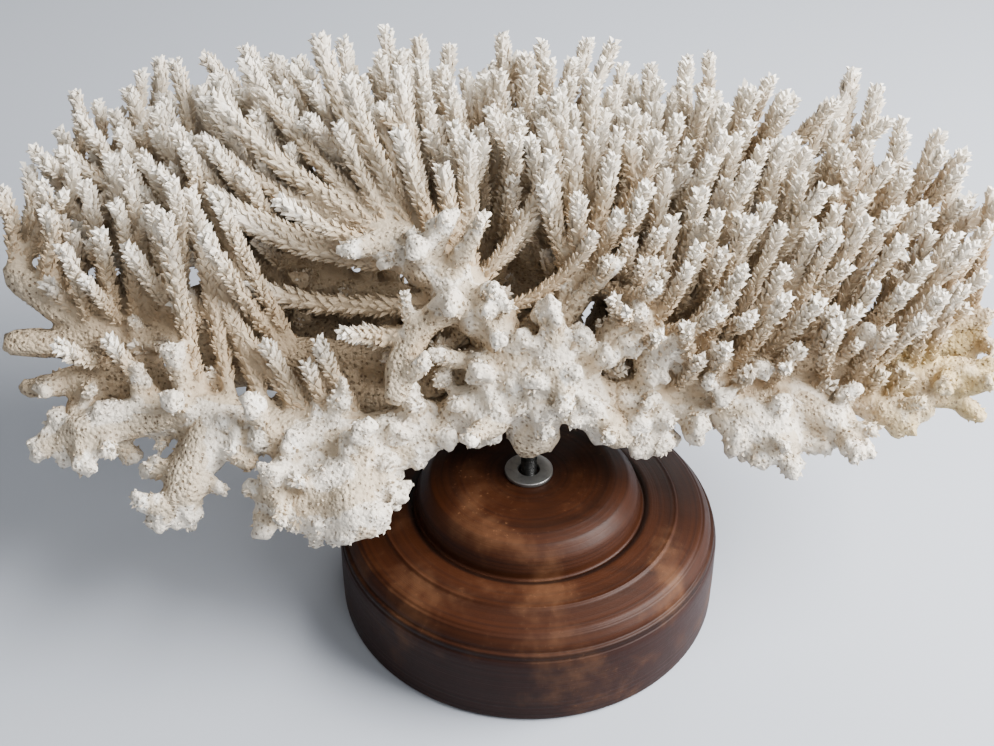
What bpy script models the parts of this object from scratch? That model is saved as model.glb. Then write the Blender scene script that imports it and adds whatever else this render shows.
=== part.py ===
"""A branching coral on a turned wooden stand.

Metres, Z up. The origin is the middle of the stand's underside, +X to the right and +Y to the back.
The stand is one turned piece of wood. A threaded steel rod stands in it under a loose washer and holds the
coral's foot. The coral is one natural thing, split at its main forks into a foot and its limbs.
"""

import itertools
import math
import random

import bmesh
import bpy
import numpy as np

MM = 0.001

# Stand, in millimetres: radius and height of the turned profile from the plateau down its outer side.
BASE_RADIUS = 96.4
BASE_STEP_HEIGHT = 40.2
BASE_RIM_HEIGHT = 46.6
PLATEAU_HEIGHT = 74.0
PLATEAU_RADIUS = 42.6
BASE_PROFILE = [
    (PLATEAU_RADIUS, PLATEAU_HEIGHT), (49.5, 71.6), (54.6, 66.0), (56.6, 60.0), (57.3, 56.9), (58.3, 56.0),
    (60.2, 56.5), (75.6, 55.1), (88.6, 51.6), (92.5, BASE_RIM_HEIGHT), (93.2, 44.4), (95.1, 43.2),
    (95.1, BASE_STEP_HEIGHT), (96.1, 38.0), (BASE_RADIUS, 3.0), (94.8, 0.0),
]
BASE_SIDES = 34

ROD_RADIUS = 4.0
ROD_BOTTOM = 44.0
ROD_TOP = 114.0
ROD_CLEARANCE = 0.3
WASHER_RADIUS = 12.0
WASHER_HOLE_RADIUS = 5.4
WASHER_THICKNESS = 2.0
CONTACT_GAP = 0.3

# Coral, in millimetres.
FOOT_BOTTOM = 98.0
BOW_KEPT_STRAIGHT = 4.5
LIMB_STEP = 30.0
SEED = 41
# where the limbs meet, and how far the grown coral stands from the middle of the stand
HEART = (0, 6, 119)
OFFSET = np.array((-1.6, 2.0, 0.0))
# limb: distance from the heart at which it is split off, then its routes with the radius at both ends
LIMBS = {
    "front_left_limb": (46, [
        ([HEART, (-48, -7, 106), (-95, -11, 105), (-134, -4, 107), (-160, 4, 108),
          (-193, 2, 108), (-224, -7, 101)], 12.0, 9.0),
        ([(-88, -11, 104), (-86, -27, 99), (-80, -44, 88)], 10.0, 10.5),
        ([(-104, -10, 105), (-112, -28, 97), (-120, -38, 88)], 9.0, 8.5),
        ([(-158, 3, 107), (-164, -16, 96), (-170, -37, 83)], 9.0, 7.0),
    ]),
    "left_limb": (57, [
        ([HEART, (-58, 25, 121), (-111, 33, 121), (-158, 36, 125), (-196, 36, 133),
          (-228, 38, 146), (-250, 46, 162)], 11.0, 8.5),
        ([(-196, 36, 133), (-226, 30, 131), (-252, 25, 134)], 8.0, 7.0),
        ([(-180, 36, 129), (-214, 22, 119), (-246, 14, 114)], 8.0, 5.5),
    ]),
    "back_left_limb": (60, [
        ([HEART, (-50, 55, 130), (-112, 78, 136), (-165, 92, 144), (-206, 108, 154),
          (-238, 126, 165)], 11.0, 7.5),
    ]),
    "back_limb": (60, [
        ([HEART, (-18, 66, 134), (-42, 104, 142), (-66, 132, 152), (-92, 150, 164)], 11.0, 7.5),
        ([(-36, 96, 141), (-14, 124, 150), (4, 146, 162)], 8.5, 7.0),
    ]),
    "back_right_limb": (60, [
        ([HEART, (22, 62, 134), (54, 92, 143), (86, 116, 152), (112, 132, 164)], 11.0, 7.5),
    ]),
    "right_limb": (56, [
        ([HEART, (48, 37, 128), (90, 46, 135), (134, 58, 145), (170, 76, 154), (198, 88, 164)], 11.0, 7.5),
    ]),
    "front_right_limb": (46, [
        ([HEART, (44, 7, 113), (86, 13, 112), (127, 20, 113), (161, 22, 114), (188, 22, 117),
          (216, 22, 121)], 12.0, 7.0),
        ([(66, 10, 113), (104, 18, 124), (140, 28, 128), (180, 38, 130), (222, 43, 135)], 9.0, 5.5),
        ([(58, 8, 113), (60, 12, 128), (56, 16, 146)], 9.0, 7.0),
        ([(150, 21, 114), (168, 12, 108), (176, 2, 108)], 9.0, 8.0),
    ]),
    "fan_limb": (32, [
        ([HEART, (-12, 13, 148), (-27, 24, 162), (-44, 33, 173), (-62, 42, 183)], 12.0, 9.5),
        ([(-28, 24, 162), (-46, 14, 157), (-58, 2, 146), (-62, -12, 130)], 8.5, 7.0),
    ]),
    "centre_limb": (38, [
        ([HEART, (14, 22, 146), (24, 34, 160), (32, 48, 172)], 10.0, 8.5),
    ]),
}
# the trunk that all limbs leave: its routes with the radius at both ends
FOOT = [([(3, -4, 98), (2, -2, 107), HEART], 13.5, 16.0),
        ([HEART, (9, -3, 130), (14, -1, 142)], 13.0, 10.5)]
# branchlets that stand out: limb, near which point of it they start, tip and radius
FINGERS = [
    ("front_left_limb", (-158, 4, 108), (-170, 36, 199), 5.8),
    ("front_left_limb", (-144, -2, 108), (-161, 58, 198), 5.2),
    ("front_left_limb", (-125, -5, 107), (-156, 52, 182), 5.4),
    ("front_left_limb", (-112, -8, 105), (-153, 40, 158), 5.0),
    ("front_left_limb", (-98, -11, 105), (-124, 12, 141), 5.0),
    ("front_left_limb", (-90, -12, 104), (-104, 2, 137), 5.0),
    ("front_left_limb", (-76, -10, 105), (-98, 6, 147), 4.8),
    ("front_left_limb", (-176, 3, 108), (-198, 10, 145), 5.5),
    ("left_limb", (-190, 35, 133), (-202, 76, 206), 5.4),
    ("left_limb", (-180, 35, 131), (-191, 60, 208), 5.4),
    ("left_limb", (-170, 35, 129), (-178, 46, 196), 5.2),
    ("left_limb", (-205, 36, 137), (-212, 62, 200), 5.4),
    ("left_limb", (-200, 36, 137), (-203, 40, 186), 5.2),
    ("left_limb", (-158, 35, 126), (-188, 32, 184), 5.2),
    ("left_limb", (-212, 36, 141), (-229, 32, 163), 5.6),
    ("left_limb", (-218, 36, 142), (-223, 66, 174), 6.4),
    ("left_limb", (-204, 28, 122), (-218, -2, 152), 5.2),
    ("fan_limb", (-60, 41, 182), (-151, 96, 229), 7.0),
    ("fan_limb", (-58, 40, 181), (-138, 114, 239), 5.6),
    ("fan_limb", (-54, 38, 179), (-104, 138, 240), 7.4),
    ("fan_limb", (-60, 41, 182), (-157, 87, 211), 5.2),
    ("fan_limb", (-50, 36, 176), (-153, 66, 195), 5.2),
    ("fan_limb", (-46, 34, 174), (-141, 55, 188), 5.6),
    ("fan_limb", (-56, 39, 179), (-115, 45, 201), 5.2),
    ("fan_limb", (-28, 24, 162), (-136, 46, 154), 7.0),
    ("fan_limb", (-50, 10, 155), (-77, 9, 151), 7.5),
    ("fan_limb", (-48, 35, 175), (-86, 96, 238), 6.0),
    ("fan_limb", (-42, 32, 172), (-62, 104, 238), 6.4),
    ("fan_limb", (-36, 29, 169), (-60, 66, 226), 6.0),
    ("fan_limb", (-32, 28, 166), (-40, 58, 212), 6.0),
    ("fan_limb", (-24, 22, 160), (-28, 66, 222), 5.8),
    ("centre_limb", (14, 22, 146), (8, 44, 210), 5.2),
    ("centre_limb", (18, 27, 151), (24, 40, 206), 5.4),
    ("centre_limb", (24, 34, 160), (22, 70, 221), 5.2),
    ("centre_limb", (28, 40, 165), (40, 58, 217), 5.4),
    ("centre_limb", (22, 30, 156), (42, 34, 200), 5.0),
    ("centre_limb", (32, 48, 172), (56, 48, 208), 5.2),
    ("right_limb", (148, 62, 148), (165, 128, 226), 6.0),
    ("right_limb", (160, 70, 152), (176, 118, 222), 6.0),
    ("right_limb", (190, 84, 161), (236, 78, 178), 7.5),
    ("right_limb", (180, 80, 158), (206, 100, 206), 5.6),
]
# broken stubs on the side of the coral that faces forward: tip and radius
KNOBS = [
    ((-37, 14, 167), 7.0), ((-17, 12, 174), 6.0), ((10, 8, 168), 7.0), ((24, 5, 156), 6.0),
    ((17, 0, 145), 6.5), ((39, 2, 143), 6.5), ((-18, -4, 130), 7.0), ((4, -7, 131), 6.5),
    ((21, -6, 129), 6.5), ((31, -9, 117), 6.5), ((-22, -12, 110), 6.0), ((-41, 0, 131), 5.5),
    ((-38, 28, 203), 7.0), ((-22, 26, 204), 5.5), ((-52, 20, 193), 7.0), ((-84, 30, 186), 6.5),
    ((-61, -20, 115), 7.0), ((-52, -22, 100), 6.5), ((-64, -24, 95), 7.0), ((-75, -26, 104), 6.5),
    ((-84, -26, 116), 6.0), ((-20, -14, 101), 7.5), ((8, -17, 107), 6.0), ((33, -12, 105), 7.0),
    ((57, -13, 100), 7.5), ((68, -12, 104), 4.5), ((62, 0, 134), 6.0), ((68, 3, 147), 7.0),
    ((52, 8, 166), 6.0), ((91, 3, 146), 6.5), ((113, 1, 137), 6.0), ((83, -10, 113), 6.5),
    ((102, -11, 108), 6.5), ((119, -7, 112), 7.0), ((131, -4, 102), 5.0), ((146, -1, 107), 7.0),
    ((161, 10, 150), 6.5), ((186, -2, 104), 7.0), ((-86, -56, 82), 7.5), ((-70, -52, 92), 7.0),
    ((-98, -52, 84), 7.0), ((-106, -44, 78), 6.0), ((-126, -48, 80), 6.5), ((-130, -36, 94), 6.0),
    ((-176, -40, 76), 6.5), ((-66, -34, 84), 6.0), ((-142, -20, 104), 6.0), ((-212, -22, 96), 7.5),
    ((-236, -12, 98), 7.0), ((-205, 10, 92), 6.5), ((-168, -8, 124), 7.0), ((-112, -26, 113), 6.5),
    ((-128, -20, 110), 6.5), ((-96, -36, 104), 6.5),
]
# outline of the field of upright branchlets, seen from above
FIELD = [(-215, 25), (-252, 50), (-246, 105), (-238, 142), (-212, 158), (-192, 175), (-150, 186), (-95, 183),
         (-30, 184), (33, 180), (92, 157), (125, 130), (158, 140), (188, 112), (215, 84), (232, 58), (212, 25),
         (180, 2), (120, -6), (60, -8), (35, 10), (14, 45), (-20, 75), (-70, 85), (-130, 75), (-140, 30)]
# the branchlets lean away from this point
FOCUS = np.array((0.0, 40.0, -70.0))
# smallest distance between the tips of two branchlets
FIELD_SPACING = 22.5


def smooth_route(points, step=6.0):
    """A smooth route through the given points."""
    p = [np.array(q, float) for q in points]
    p = [2 * p[0] - p[1]] + p + [2 * p[-1] - p[-2]]
    out = []
    for a, b, c, d in zip(p, p[1:], p[2:], p[3:]):
        n = max(2, int(np.linalg.norm(c - b) / step))
        for i in range(n):
            t = i / n
            out.append(0.5 * (2 * b + (c - a) * t + (2 * a - 5 * b + 4 * c - d) * t * t
                              + (3 * b - a - 3 * c + d) * t ** 3))
    out.append(p[-2])
    return np.array(out)


def unit(v):
    v = np.asarray(v, float)
    return v / max(float(np.linalg.norm(v)), 1e-9)


def bend(a, b, start, end, n):
    """A curve from a to b that leaves and arrives in the given directions."""
    length = np.linalg.norm(b - a)
    p1 = a + start * length * 0.36
    p2 = b - end * length * 0.36
    t = np.linspace(0, 1, n)[:, None]
    return a * (1 - t) ** 3 + 3 * p1 * t * (1 - t) ** 2 + 3 * p2 * t * t * (1 - t) + b * t ** 3


def inside(x, y, outline):
    """Whether a point of the plan lies within an outline."""
    hit = False
    for (x0, y0), (x1, y1) in zip(outline, outline[1:] + outline[:1]):
        if (y0 > y) != (y1 > y) and x < x0 + (y - y0) / (y1 - y0) * (x1 - x0):
            hit = not hit
    return hit


def canopy(x, y):
    """Height of the branchlets' tips over a point of the plan."""
    ramp = min(1.0, max(0.0, (y + 6) / 92))
    ramp = ramp * (2 - ramp)
    return 164 + 59 * ramp - 22 * (abs(x + 10) / 240) ** 2.4 - 7 * max(0.0, (y - 150) / 35)


def split_route(points, radius_0, radius_1, cut, gap=0.3):
    """Cut a route at a distance from the heart: the part that stays with the trunk, and the part beyond."""
    path = smooth_route(points)
    radius = np.linspace(radius_0, radius_1, len(path))
    far = np.linalg.norm(path - np.array(HEART), axis=1)
    if far[0] > cut:
        return None, (path, radius)
    k = int(np.argmax(far > cut))
    t = (cut - far[k - 1]) / (far[k] - far[k - 1])
    at = path[k - 1] + (path[k] - path[k - 1]) * t
    way = unit(path[k] - path[k - 1])
    r = radius[k - 1] + (radius[k] - radius[k - 1]) * t
    inner = (np.vstack([path[:k - 1], at - 5 * way, at]), np.append(radius[:k - 1], (r, r)))
    outer = (np.vstack([at + gap * way, at + 5 * way, path[k + 1:]]), np.append((r, r), radius[k + 1:]))
    return inner, outer


class Space:
    """The room that the coral already takes up, kept as balls along every tube."""

    def __init__(self):
        self.at = np.zeros((0, 3))
        self.radius = np.zeros(0)
        self.owner = np.zeros(0, int)
        self.twig = np.zeros(0, int)

    def fill(self, path, radius, owner, twig):
        self.at = np.concatenate([self.at, path])
        self.radius = np.concatenate([self.radius, radius])
        self.owner = np.concatenate([self.owner, np.full(len(path), owner)])
        self.twig = np.concatenate([self.twig, np.full(len(path), twig)])

    def clear(self, path, radius, owner, own_gap, gap):
        """Whether a new branchlet keeps its distance from the other limbs and from its own limb's branchlets."""
        room = np.linalg.norm(path[:, None] - self.at[None], axis=2) - radius[:, None] - self.radius[None]
        if (room[:, self.owner != owner] < gap).any():
            return False
        skip = max(1, int(len(path) * 0.35))
        mine = room[skip:][:, (self.owner == owner) & (self.twig == 1)]
        return not (mine.size and (mine < own_gap).any())


def placed_at(branches, offset):
    """Routes moved by an offset."""
    return [(path + offset, radius) for path, radius in branches]


def grow():
    """The limbs' routes, and the branchlets and stubs on them, each with the limb that it belongs to."""
    rng = random.Random(SEED)
    names = ["foot"] + list(LIMBS)
    tubes = {"foot": []}
    for points, r0, r1 in FOOT:
        path = smooth_route(points)
        tubes["foot"].append((path, np.linspace(r0, r1, len(path))))
    for name, (cut, routes) in LIMBS.items():
        tubes[name] = []
        for points, r0, r1 in routes:
            inner, outer = split_route(points, r0, r1, cut)
            if inner is not None:
                tubes["foot"].append(inner)
            tubes[name].append(outer)
    space = Space()
    roots_at, roots_radius, roots_owner = [], [], []
    for own, name in enumerate(names):
        for path, radius in tubes[name]:
            space.fill(path, radius, own, 0)
            for p, r in zip(path, radius):
                roots_at.append(p)
                roots_radius.append(r)
                roots_owner.append(own)
    roots_at = np.array(roots_at)
    roots_radius = np.array(roots_radius)
    roots_owner = np.array(roots_owner)
    twigs, used, tips = [], [], []

    def add(path, radius, owner, kind):
        twigs.append({"limb": names[owner], "path": path, "radius": radius, "kind": kind})
        space.fill(path, radius, owner, 1)
        used.append(path[0])
        tips.append(path[-1])

    for limb, near, tip, fat in FINGERS:
        owner = names.index(limb)
        b = np.array(tip, float)
        ids = np.where(roots_owner == owner)[0]
        ids = ids[np.argsort(np.linalg.norm(roots_at[ids] - np.array(near, float), axis=1))][:5]
        for lift, j in itertools.product((-0.2, 0.1, 0.35, 0.6), ids):
            flat = unit(b - roots_at[j])
            leave = unit(flat + np.array((0, 0, lift)))
            arrive = unit(flat + np.array((0, 0, 0.3 - lift * 0.5)))
            path = bend(roots_at[j], b, leave, arrive, 12)
            radius = np.linspace(min(fat, roots_radius[j] * 0.85), fat * 0.8, 12)
            if space.clear(path, radius, owner, -5, 1.0):
                add(path, radius, owner, "finger")
                break
    for tip, fat in KNOBS:
        tip = np.array(tip, float)
        far = np.linalg.norm(roots_at - tip, axis=1) - 0.6 * roots_radius
        for j in np.argsort(far)[:10]:
            out = unit(tip - roots_at[j])
            path = bend(roots_at[j], tip, out, out, 5)
            radius = np.array((0.95, 1.0, 1.0, 0.95, 0.85)) * fat
            radius[0] = min(radius[0], roots_radius[j] * 0.85)
            if space.clear(path, radius, roots_owner[j], -40, 1.0):
                add(path, radius, roots_owner[j], "knob")
                break
    for _ in range(3000):
        x, y = rng.uniform(-255, 235), rng.uniform(-10, 188)
        dz, fat = rng.uniform(-9, 9), rng.uniform(4.7, 5.7)
        turn = np.array((rng.uniform(-0.10, 0.10), rng.uniform(-0.10, 0.10), 0.0))
        if not inside(x, y, FIELD):
            continue
        tip = np.array((x, y, canopy(x, y) + dz))
        gap = np.array(tips) - tip
        if (np.linalg.norm(gap[:, :2], axis=1) + 0.4 * np.abs(gap[:, 2])).min() < FIELD_SPACING:
            continue
        aim = unit(unit(tip - FOCUS) + turn)
        rel = tip - roots_at
        dist = np.linalg.norm(rel, axis=1)
        along = rel @ aim
        cost = dist + 1.1 * np.linalg.norm(rel - along[:, None] * aim, axis=1)
        near = np.linalg.norm(roots_at[:, None] - np.array(used)[None], axis=2).min(1)
        cost = cost + 14 * np.clip(1 - near / 9, 0, 1)
        cost[(along < 18) | (dist > 128) | (roots_owner == 0)] = 1e9
        for j in np.argsort(cost)[:16]:
            if cost[j] > 1e8:
                break
            out = unit(tip - roots_at[j])
            side = np.array((out[0], out[1], 0.0))
            arrive = unit(out + aim + np.array((0, 0, 0.25)))
            path = bend(roots_at[j], tip, unit(out + side * 0.5), arrive, 12)
            radius = np.linspace(min(fat, roots_radius[j] * 0.85), fat * 0.8, 12)
            if space.clear(path, radius, roots_owner[j], -1.5, 1.2):
                add(path, radius, roots_owner[j], "field")
                break
    for twig in twigs:
        twig["path"] = twig["path"] + OFFSET
    return {name: placed_at(branches, OFFSET) for name, branches in tubes.items()}, twigs

def clear_scene():
    for thing in list(bpy.data.objects):
        bpy.data.objects.remove(thing, do_unlink=True)


def new_collection(name):
    group = bpy.data.collections.new(name)
    bpy.context.scene.collection.children.link(group)
    return group


def material(name, colour, roughness, metallic):
    made = bpy.data.materials.new(name)
    made.use_nodes = True
    shader = made.node_tree.nodes["Principled BSDF"]
    shader.inputs["Base Color"].default_value = (*colour, 1.0)
    shader.inputs["Roughness"].default_value = roughness
    shader.inputs["Metallic"].default_value = metallic
    return made


def coral_material(name):
    return material(name, (0.70, 0.64, 0.55), 0.85, 0.0)


def wood_material(name):
    return material(name, (0.105, 0.045, 0.024), 0.38, 0.0)


def steel_material(name):
    return material(name, (0.34, 0.33, 0.32), 0.32, 1.0)


def place(mesh, name, group, look):
    thing = bpy.data.objects.new(name, mesh)
    group.objects.link(thing)
    mesh.materials.clear()
    mesh.materials.append(look)
    return thing


def mesh_of(thing):
    """The evaluated mesh of an object, with its doubled points welded."""
    graph = bpy.context.evaluated_depsgraph_get()
    mesh = bpy.data.meshes.new_from_object(thing.evaluated_get(graph))
    shell = bmesh.new()
    shell.from_mesh(mesh)
    bmesh.ops.remove_doubles(shell, verts=shell.verts, dist=0.00001)
    bmesh.ops.recalc_face_normals(shell, faces=shell.faces)
    shell.to_mesh(mesh)
    shell.free()
    return mesh


def tube_mesh(path, radius, sides, group):
    """A closed tube along a path in millimetres, with a radius at every point."""
    curve = bpy.data.curves.new("tube", "CURVE")
    curve.dimensions = "3D"
    curve.bevel_depth = MM
    curve.bevel_resolution = (sides - 4) // 2
    curve.use_fill_caps = True
    spline = curve.splines.new("POLY")
    spline.points.add(len(path) - 1)
    for point, at, r in zip(spline.points, path, radius):
        point.co = (at[0] * MM, at[1] * MM, at[2] * MM, 1.0)
        point.radius = float(r)
    thing = bpy.data.objects.new("tube", curve)
    group.objects.link(thing)
    mesh = mesh_of(thing)
    bpy.data.objects.remove(thing, do_unlink=True)
    bpy.data.curves.remove(curve)
    return mesh


def joined(meshes):
    """One mesh that holds several closed shells side by side."""
    shell = bmesh.new()
    for mesh in meshes:
        shell.from_mesh(mesh)
        bpy.data.meshes.remove(mesh)
    out = bpy.data.meshes.new("shells")
    shell.to_mesh(out)
    shell.free()
    return out


def apply_boolean(thing, cutter, operation, own=False):
    step = thing.modifiers.new(operation.lower(), "BOOLEAN")
    step.operation = operation
    step.solver = "EXACT"
    step.use_self = own
    step.object = cutter
    graph = bpy.context.evaluated_depsgraph_get()
    mesh = bpy.data.meshes.new_from_object(thing.evaluated_get(graph))
    thing.modifiers.remove(step)
    thing.data = mesh


def tidy(thing, weld=0.00003):
    """Weld the slivers that a union leaves and turn every face into triangles that point outwards."""
    shell = bmesh.new()
    shell.from_mesh(thing.data)
    bmesh.ops.remove_doubles(shell, verts=shell.verts, dist=weld)
    bmesh.ops.dissolve_degenerate(shell, dist=weld, edges=shell.edges)
    bmesh.ops.triangulate(shell, faces=shell.faces)
    bmesh.ops.recalc_face_normals(shell, faces=shell.faces)
    shell.to_mesh(thing.data)
    shell.free()


def thinned(path, radius, spacing):
    """Fewer points of a path, at about the given spacing, with both ends kept."""
    length = np.concatenate([[0.0], np.cumsum(np.linalg.norm(np.diff(path, axis=0), axis=1))])
    count = max(2, int(round(length[-1] / spacing)) + 1)
    at = np.linspace(0, length[-1], count)
    spots = np.stack([np.interp(at, length, path[:, k]) for k in range(3)], axis=1)
    return spots, np.interp(at, length, radius)


def held_ends(path, radius, spots, r, hold=5.0):
    """Let a thinned tube leave and arrive straight, so that the faces of a split lie flat to each other."""
    lead = path[0] + unit(path[1] - path[0]) * hold
    trail = path[-1] - unit(path[-1] - path[-2]) * hold
    held = np.vstack([spots[0], lead, spots[1:-1], trail, spots[-1]])
    return held, np.concatenate([r[:1], r[:1], r[1:-1], r[-1:], r[-1:]])


def make_base(group, cutters, look):
    shell = bmesh.new()
    line = [shell.verts.new((0.0, 0.0, PLATEAU_HEIGHT * MM))]
    line += [shell.verts.new((r * MM, 0.0, z * MM)) for r, z in BASE_PROFILE]
    line += [shell.verts.new((0.0, 0.0, 0.0))]
    for a, b in zip(line, line[1:]):
        shell.edges.new((a, b))
    mesh = bpy.data.meshes.new("profile")
    shell.to_mesh(mesh)
    shell.free()
    thing = place(mesh, "turned_base", group, look)
    turn = thing.modifiers.new("turn", "SCREW")
    turn.axis = "Z"
    turn.steps = BASE_SIDES
    turn.render_steps = BASE_SIDES
    turn.use_merge_vertices = True
    turn.merge_threshold = 0.00001
    turn.use_normal_calculate = True
    mesh = mesh_of(thing)
    thing.modifiers.clear()
    thing.data = mesh
    bore = cylinder("rod_bore", ROD_RADIUS + ROD_CLEARANCE, ROD_BOTTOM - 1.0, PLATEAU_HEIGHT + 5.0, 24, cutters)
    apply_boolean(thing, bore, "DIFFERENCE")
    thing.data.materials.clear()
    thing.data.materials.append(look)
    tidy(thing, 0.00001)
    return thing


def cylinder(name, radius, low, high, sides, group):
    mesh = bpy.data.meshes.new(name)
    shell = bmesh.new()
    bmesh.ops.create_cone(shell, cap_ends=True, segments=sides, radius1=radius * MM, radius2=radius * MM,
                          depth=(high - low) * MM)
    bmesh.ops.translate(shell, verts=shell.verts, vec=(0.0, 0.0, (low + high) * 0.5 * MM))
    shell.to_mesh(mesh)
    shell.free()
    thing = bpy.data.objects.new(name, mesh)
    group.objects.link(thing)
    if group.hide_render:
        thing.display_type = "WIRE"
        thing.hide_render = True
    return thing


def make_rod(group, look):
    thing = cylinder("threaded_rod", ROD_RADIUS, ROD_BOTTOM, ROD_TOP, 24, group)
    thing.data.materials.append(look)
    tidy(thing, 0.00001)
    return thing


def make_washer(group, cutters, look):
    low = PLATEAU_HEIGHT + CONTACT_GAP
    thing = cylinder("washer", WASHER_RADIUS, low, low + WASHER_THICKNESS, 32, group)
    hole = cylinder("washer_hole", WASHER_HOLE_RADIUS, low - 1.0, low + WASHER_THICKNESS + 1.0, 24, cutters)
    apply_boolean(thing, hole, "DIFFERENCE")
    thing.data.materials.clear()
    thing.data.materials.append(look)
    tidy(thing, 0.00001)
    return thing


def bow(path):
    """How far a path leaves the straight line between its ends."""
    chord = unit(path[-1] - path[0])
    rel = path - path[0]
    return float(np.linalg.norm(rel - (rel @ chord)[:, None] * chord, axis=1).max())


def is_closed(mesh):
    shell = bmesh.new()
    shell.from_mesh(mesh)
    closed = all(len(edge.link_faces) == 2 for edge in shell.edges) and shell.calc_volume() > 0
    shell.free()
    return closed


def make_limb(name, tubes, twigs, group, look):
    """Fuse a limb's routes and its branchlets into one closed body.

    Two tubes can meet so nearly edge to edge that their union stays open. The roots of the branchlets are then
    moved a fraction of a millimetre inside the limb and the union is made again.
    """
    for attempt in range(10):
        meshes = []
        for path, radius in tubes:
            spots, r = held_ends(path, radius, *thinned(path, radius, LIMB_STEP))
            meshes.append(tube_mesh(spots, r, 8 if radius[0] > 9.5 else 6, group))
        for k, twig in enumerate(twigs):
            length = float(np.linalg.norm(np.diff(twig["path"], axis=0), axis=1).sum())
            pieces = 1 if bow(twig["path"]) < BOW_KEPT_STRAIGHT else 2
            spots, r = thinned(twig["path"], twig["radius"], length / pieces)
            turn = 2.4 * (k + attempt)
            spots[0] += np.array((math.cos(turn), math.sin(turn), 0.4 * math.sin(3 * turn))) * 0.17 * attempt
            meshes.append(tube_mesh(spots, r, 4 if twig["kind"] == "knob" else 6, group))
        body = place(meshes[0], name, group, look)
        if len(meshes) > 1:
            rest = place(joined(meshes[1:]), "rest", group, look)
            apply_boolean(body, rest, "UNION", own=True)
            bpy.data.objects.remove(rest, do_unlink=True)
        body.data.materials.clear()
        body.data.materials.append(look)
        tidy(body)
        if is_closed(body.data):
            return body
        bpy.data.objects.remove(body, do_unlink=True)
    raise RuntimeError(name + " could not be fused into one closed body")


def make_coral(group, cutters, look):
    tubes, twigs = grow()
    made = []
    for name in tubes:
        own = [twig for twig in twigs if twig["limb"] == name]
        label = "coral_foot" if name == "foot" else name
        made.append(make_limb(label, tubes[name], own, group, look))
    foot = made[0]
    bore = cylinder("foot_bore", ROD_RADIUS + ROD_CLEARANCE, FOOT_BOTTOM - 30.0, ROD_TOP + 1.0, 24, cutters)
    apply_boolean(foot, bore, "DIFFERENCE")
    foot.data.materials.clear()
    foot.data.materials.append(look)
    tidy(foot, 0.00002)
    return made


def main():
    clear_scene()
    group = new_collection("branching_coral")
    cutters = new_collection("cutters")
    cutters.hide_render = True
    wood = wood_material("wood")
    steel = steel_material("steel")
    coral = coral_material("coral")
    make_base(group, cutters, wood)
    make_rod(group, steel)
    make_washer(group, cutters, steel)
    make_coral(group, cutters, coral)


main()
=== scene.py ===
"""A branching coral on a turned wooden stand, and the stage that it is shown on.

The colony grows by rule from listed limbs: fingers and broken stubs placed one by one, and a field of
upright branchlets whose tips lie on one rounded canopy. Geometry Nodes then cover every branchlet with
corallites, which are the small scales of the coral. Growth is worked out in millimetres and turned into
metres when a mesh is made.
"""

import itertools
import math
import random

import bmesh
import bpy
import numpy as np
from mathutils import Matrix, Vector, kdtree, noise


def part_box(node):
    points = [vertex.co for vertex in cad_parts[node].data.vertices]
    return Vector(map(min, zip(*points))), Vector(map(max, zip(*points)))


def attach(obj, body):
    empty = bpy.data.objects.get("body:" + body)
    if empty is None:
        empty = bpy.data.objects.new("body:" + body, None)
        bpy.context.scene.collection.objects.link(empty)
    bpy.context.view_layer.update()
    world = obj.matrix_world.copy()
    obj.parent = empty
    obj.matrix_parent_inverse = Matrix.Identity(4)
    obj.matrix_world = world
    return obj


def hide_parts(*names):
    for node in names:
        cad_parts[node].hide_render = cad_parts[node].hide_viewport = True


bl_info = {
    "name": "Branching coral on a turned stand",
    "version": (1, 0, 0),
    "blender": (4, 5, 0),
    "location": "View3D > Sidebar > Coral",
    "description": "Builds a branching coral, its turned wooden stand and a stage to show them on",
    "category": "Add Mesh",
}

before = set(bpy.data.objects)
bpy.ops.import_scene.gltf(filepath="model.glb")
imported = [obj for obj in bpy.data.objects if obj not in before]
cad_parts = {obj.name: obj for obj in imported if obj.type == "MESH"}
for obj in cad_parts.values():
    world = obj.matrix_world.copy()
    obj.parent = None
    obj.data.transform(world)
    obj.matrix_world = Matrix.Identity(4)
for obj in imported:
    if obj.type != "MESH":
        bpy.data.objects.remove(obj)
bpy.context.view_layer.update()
MM = 0.001

SEED = 41
# where the limbs meet, and how far the grown coral stands from the middle of the stand
HEART = (0, 6, 119)
OFFSET = np.array((-1.6, 2.0, 0.0))
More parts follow.
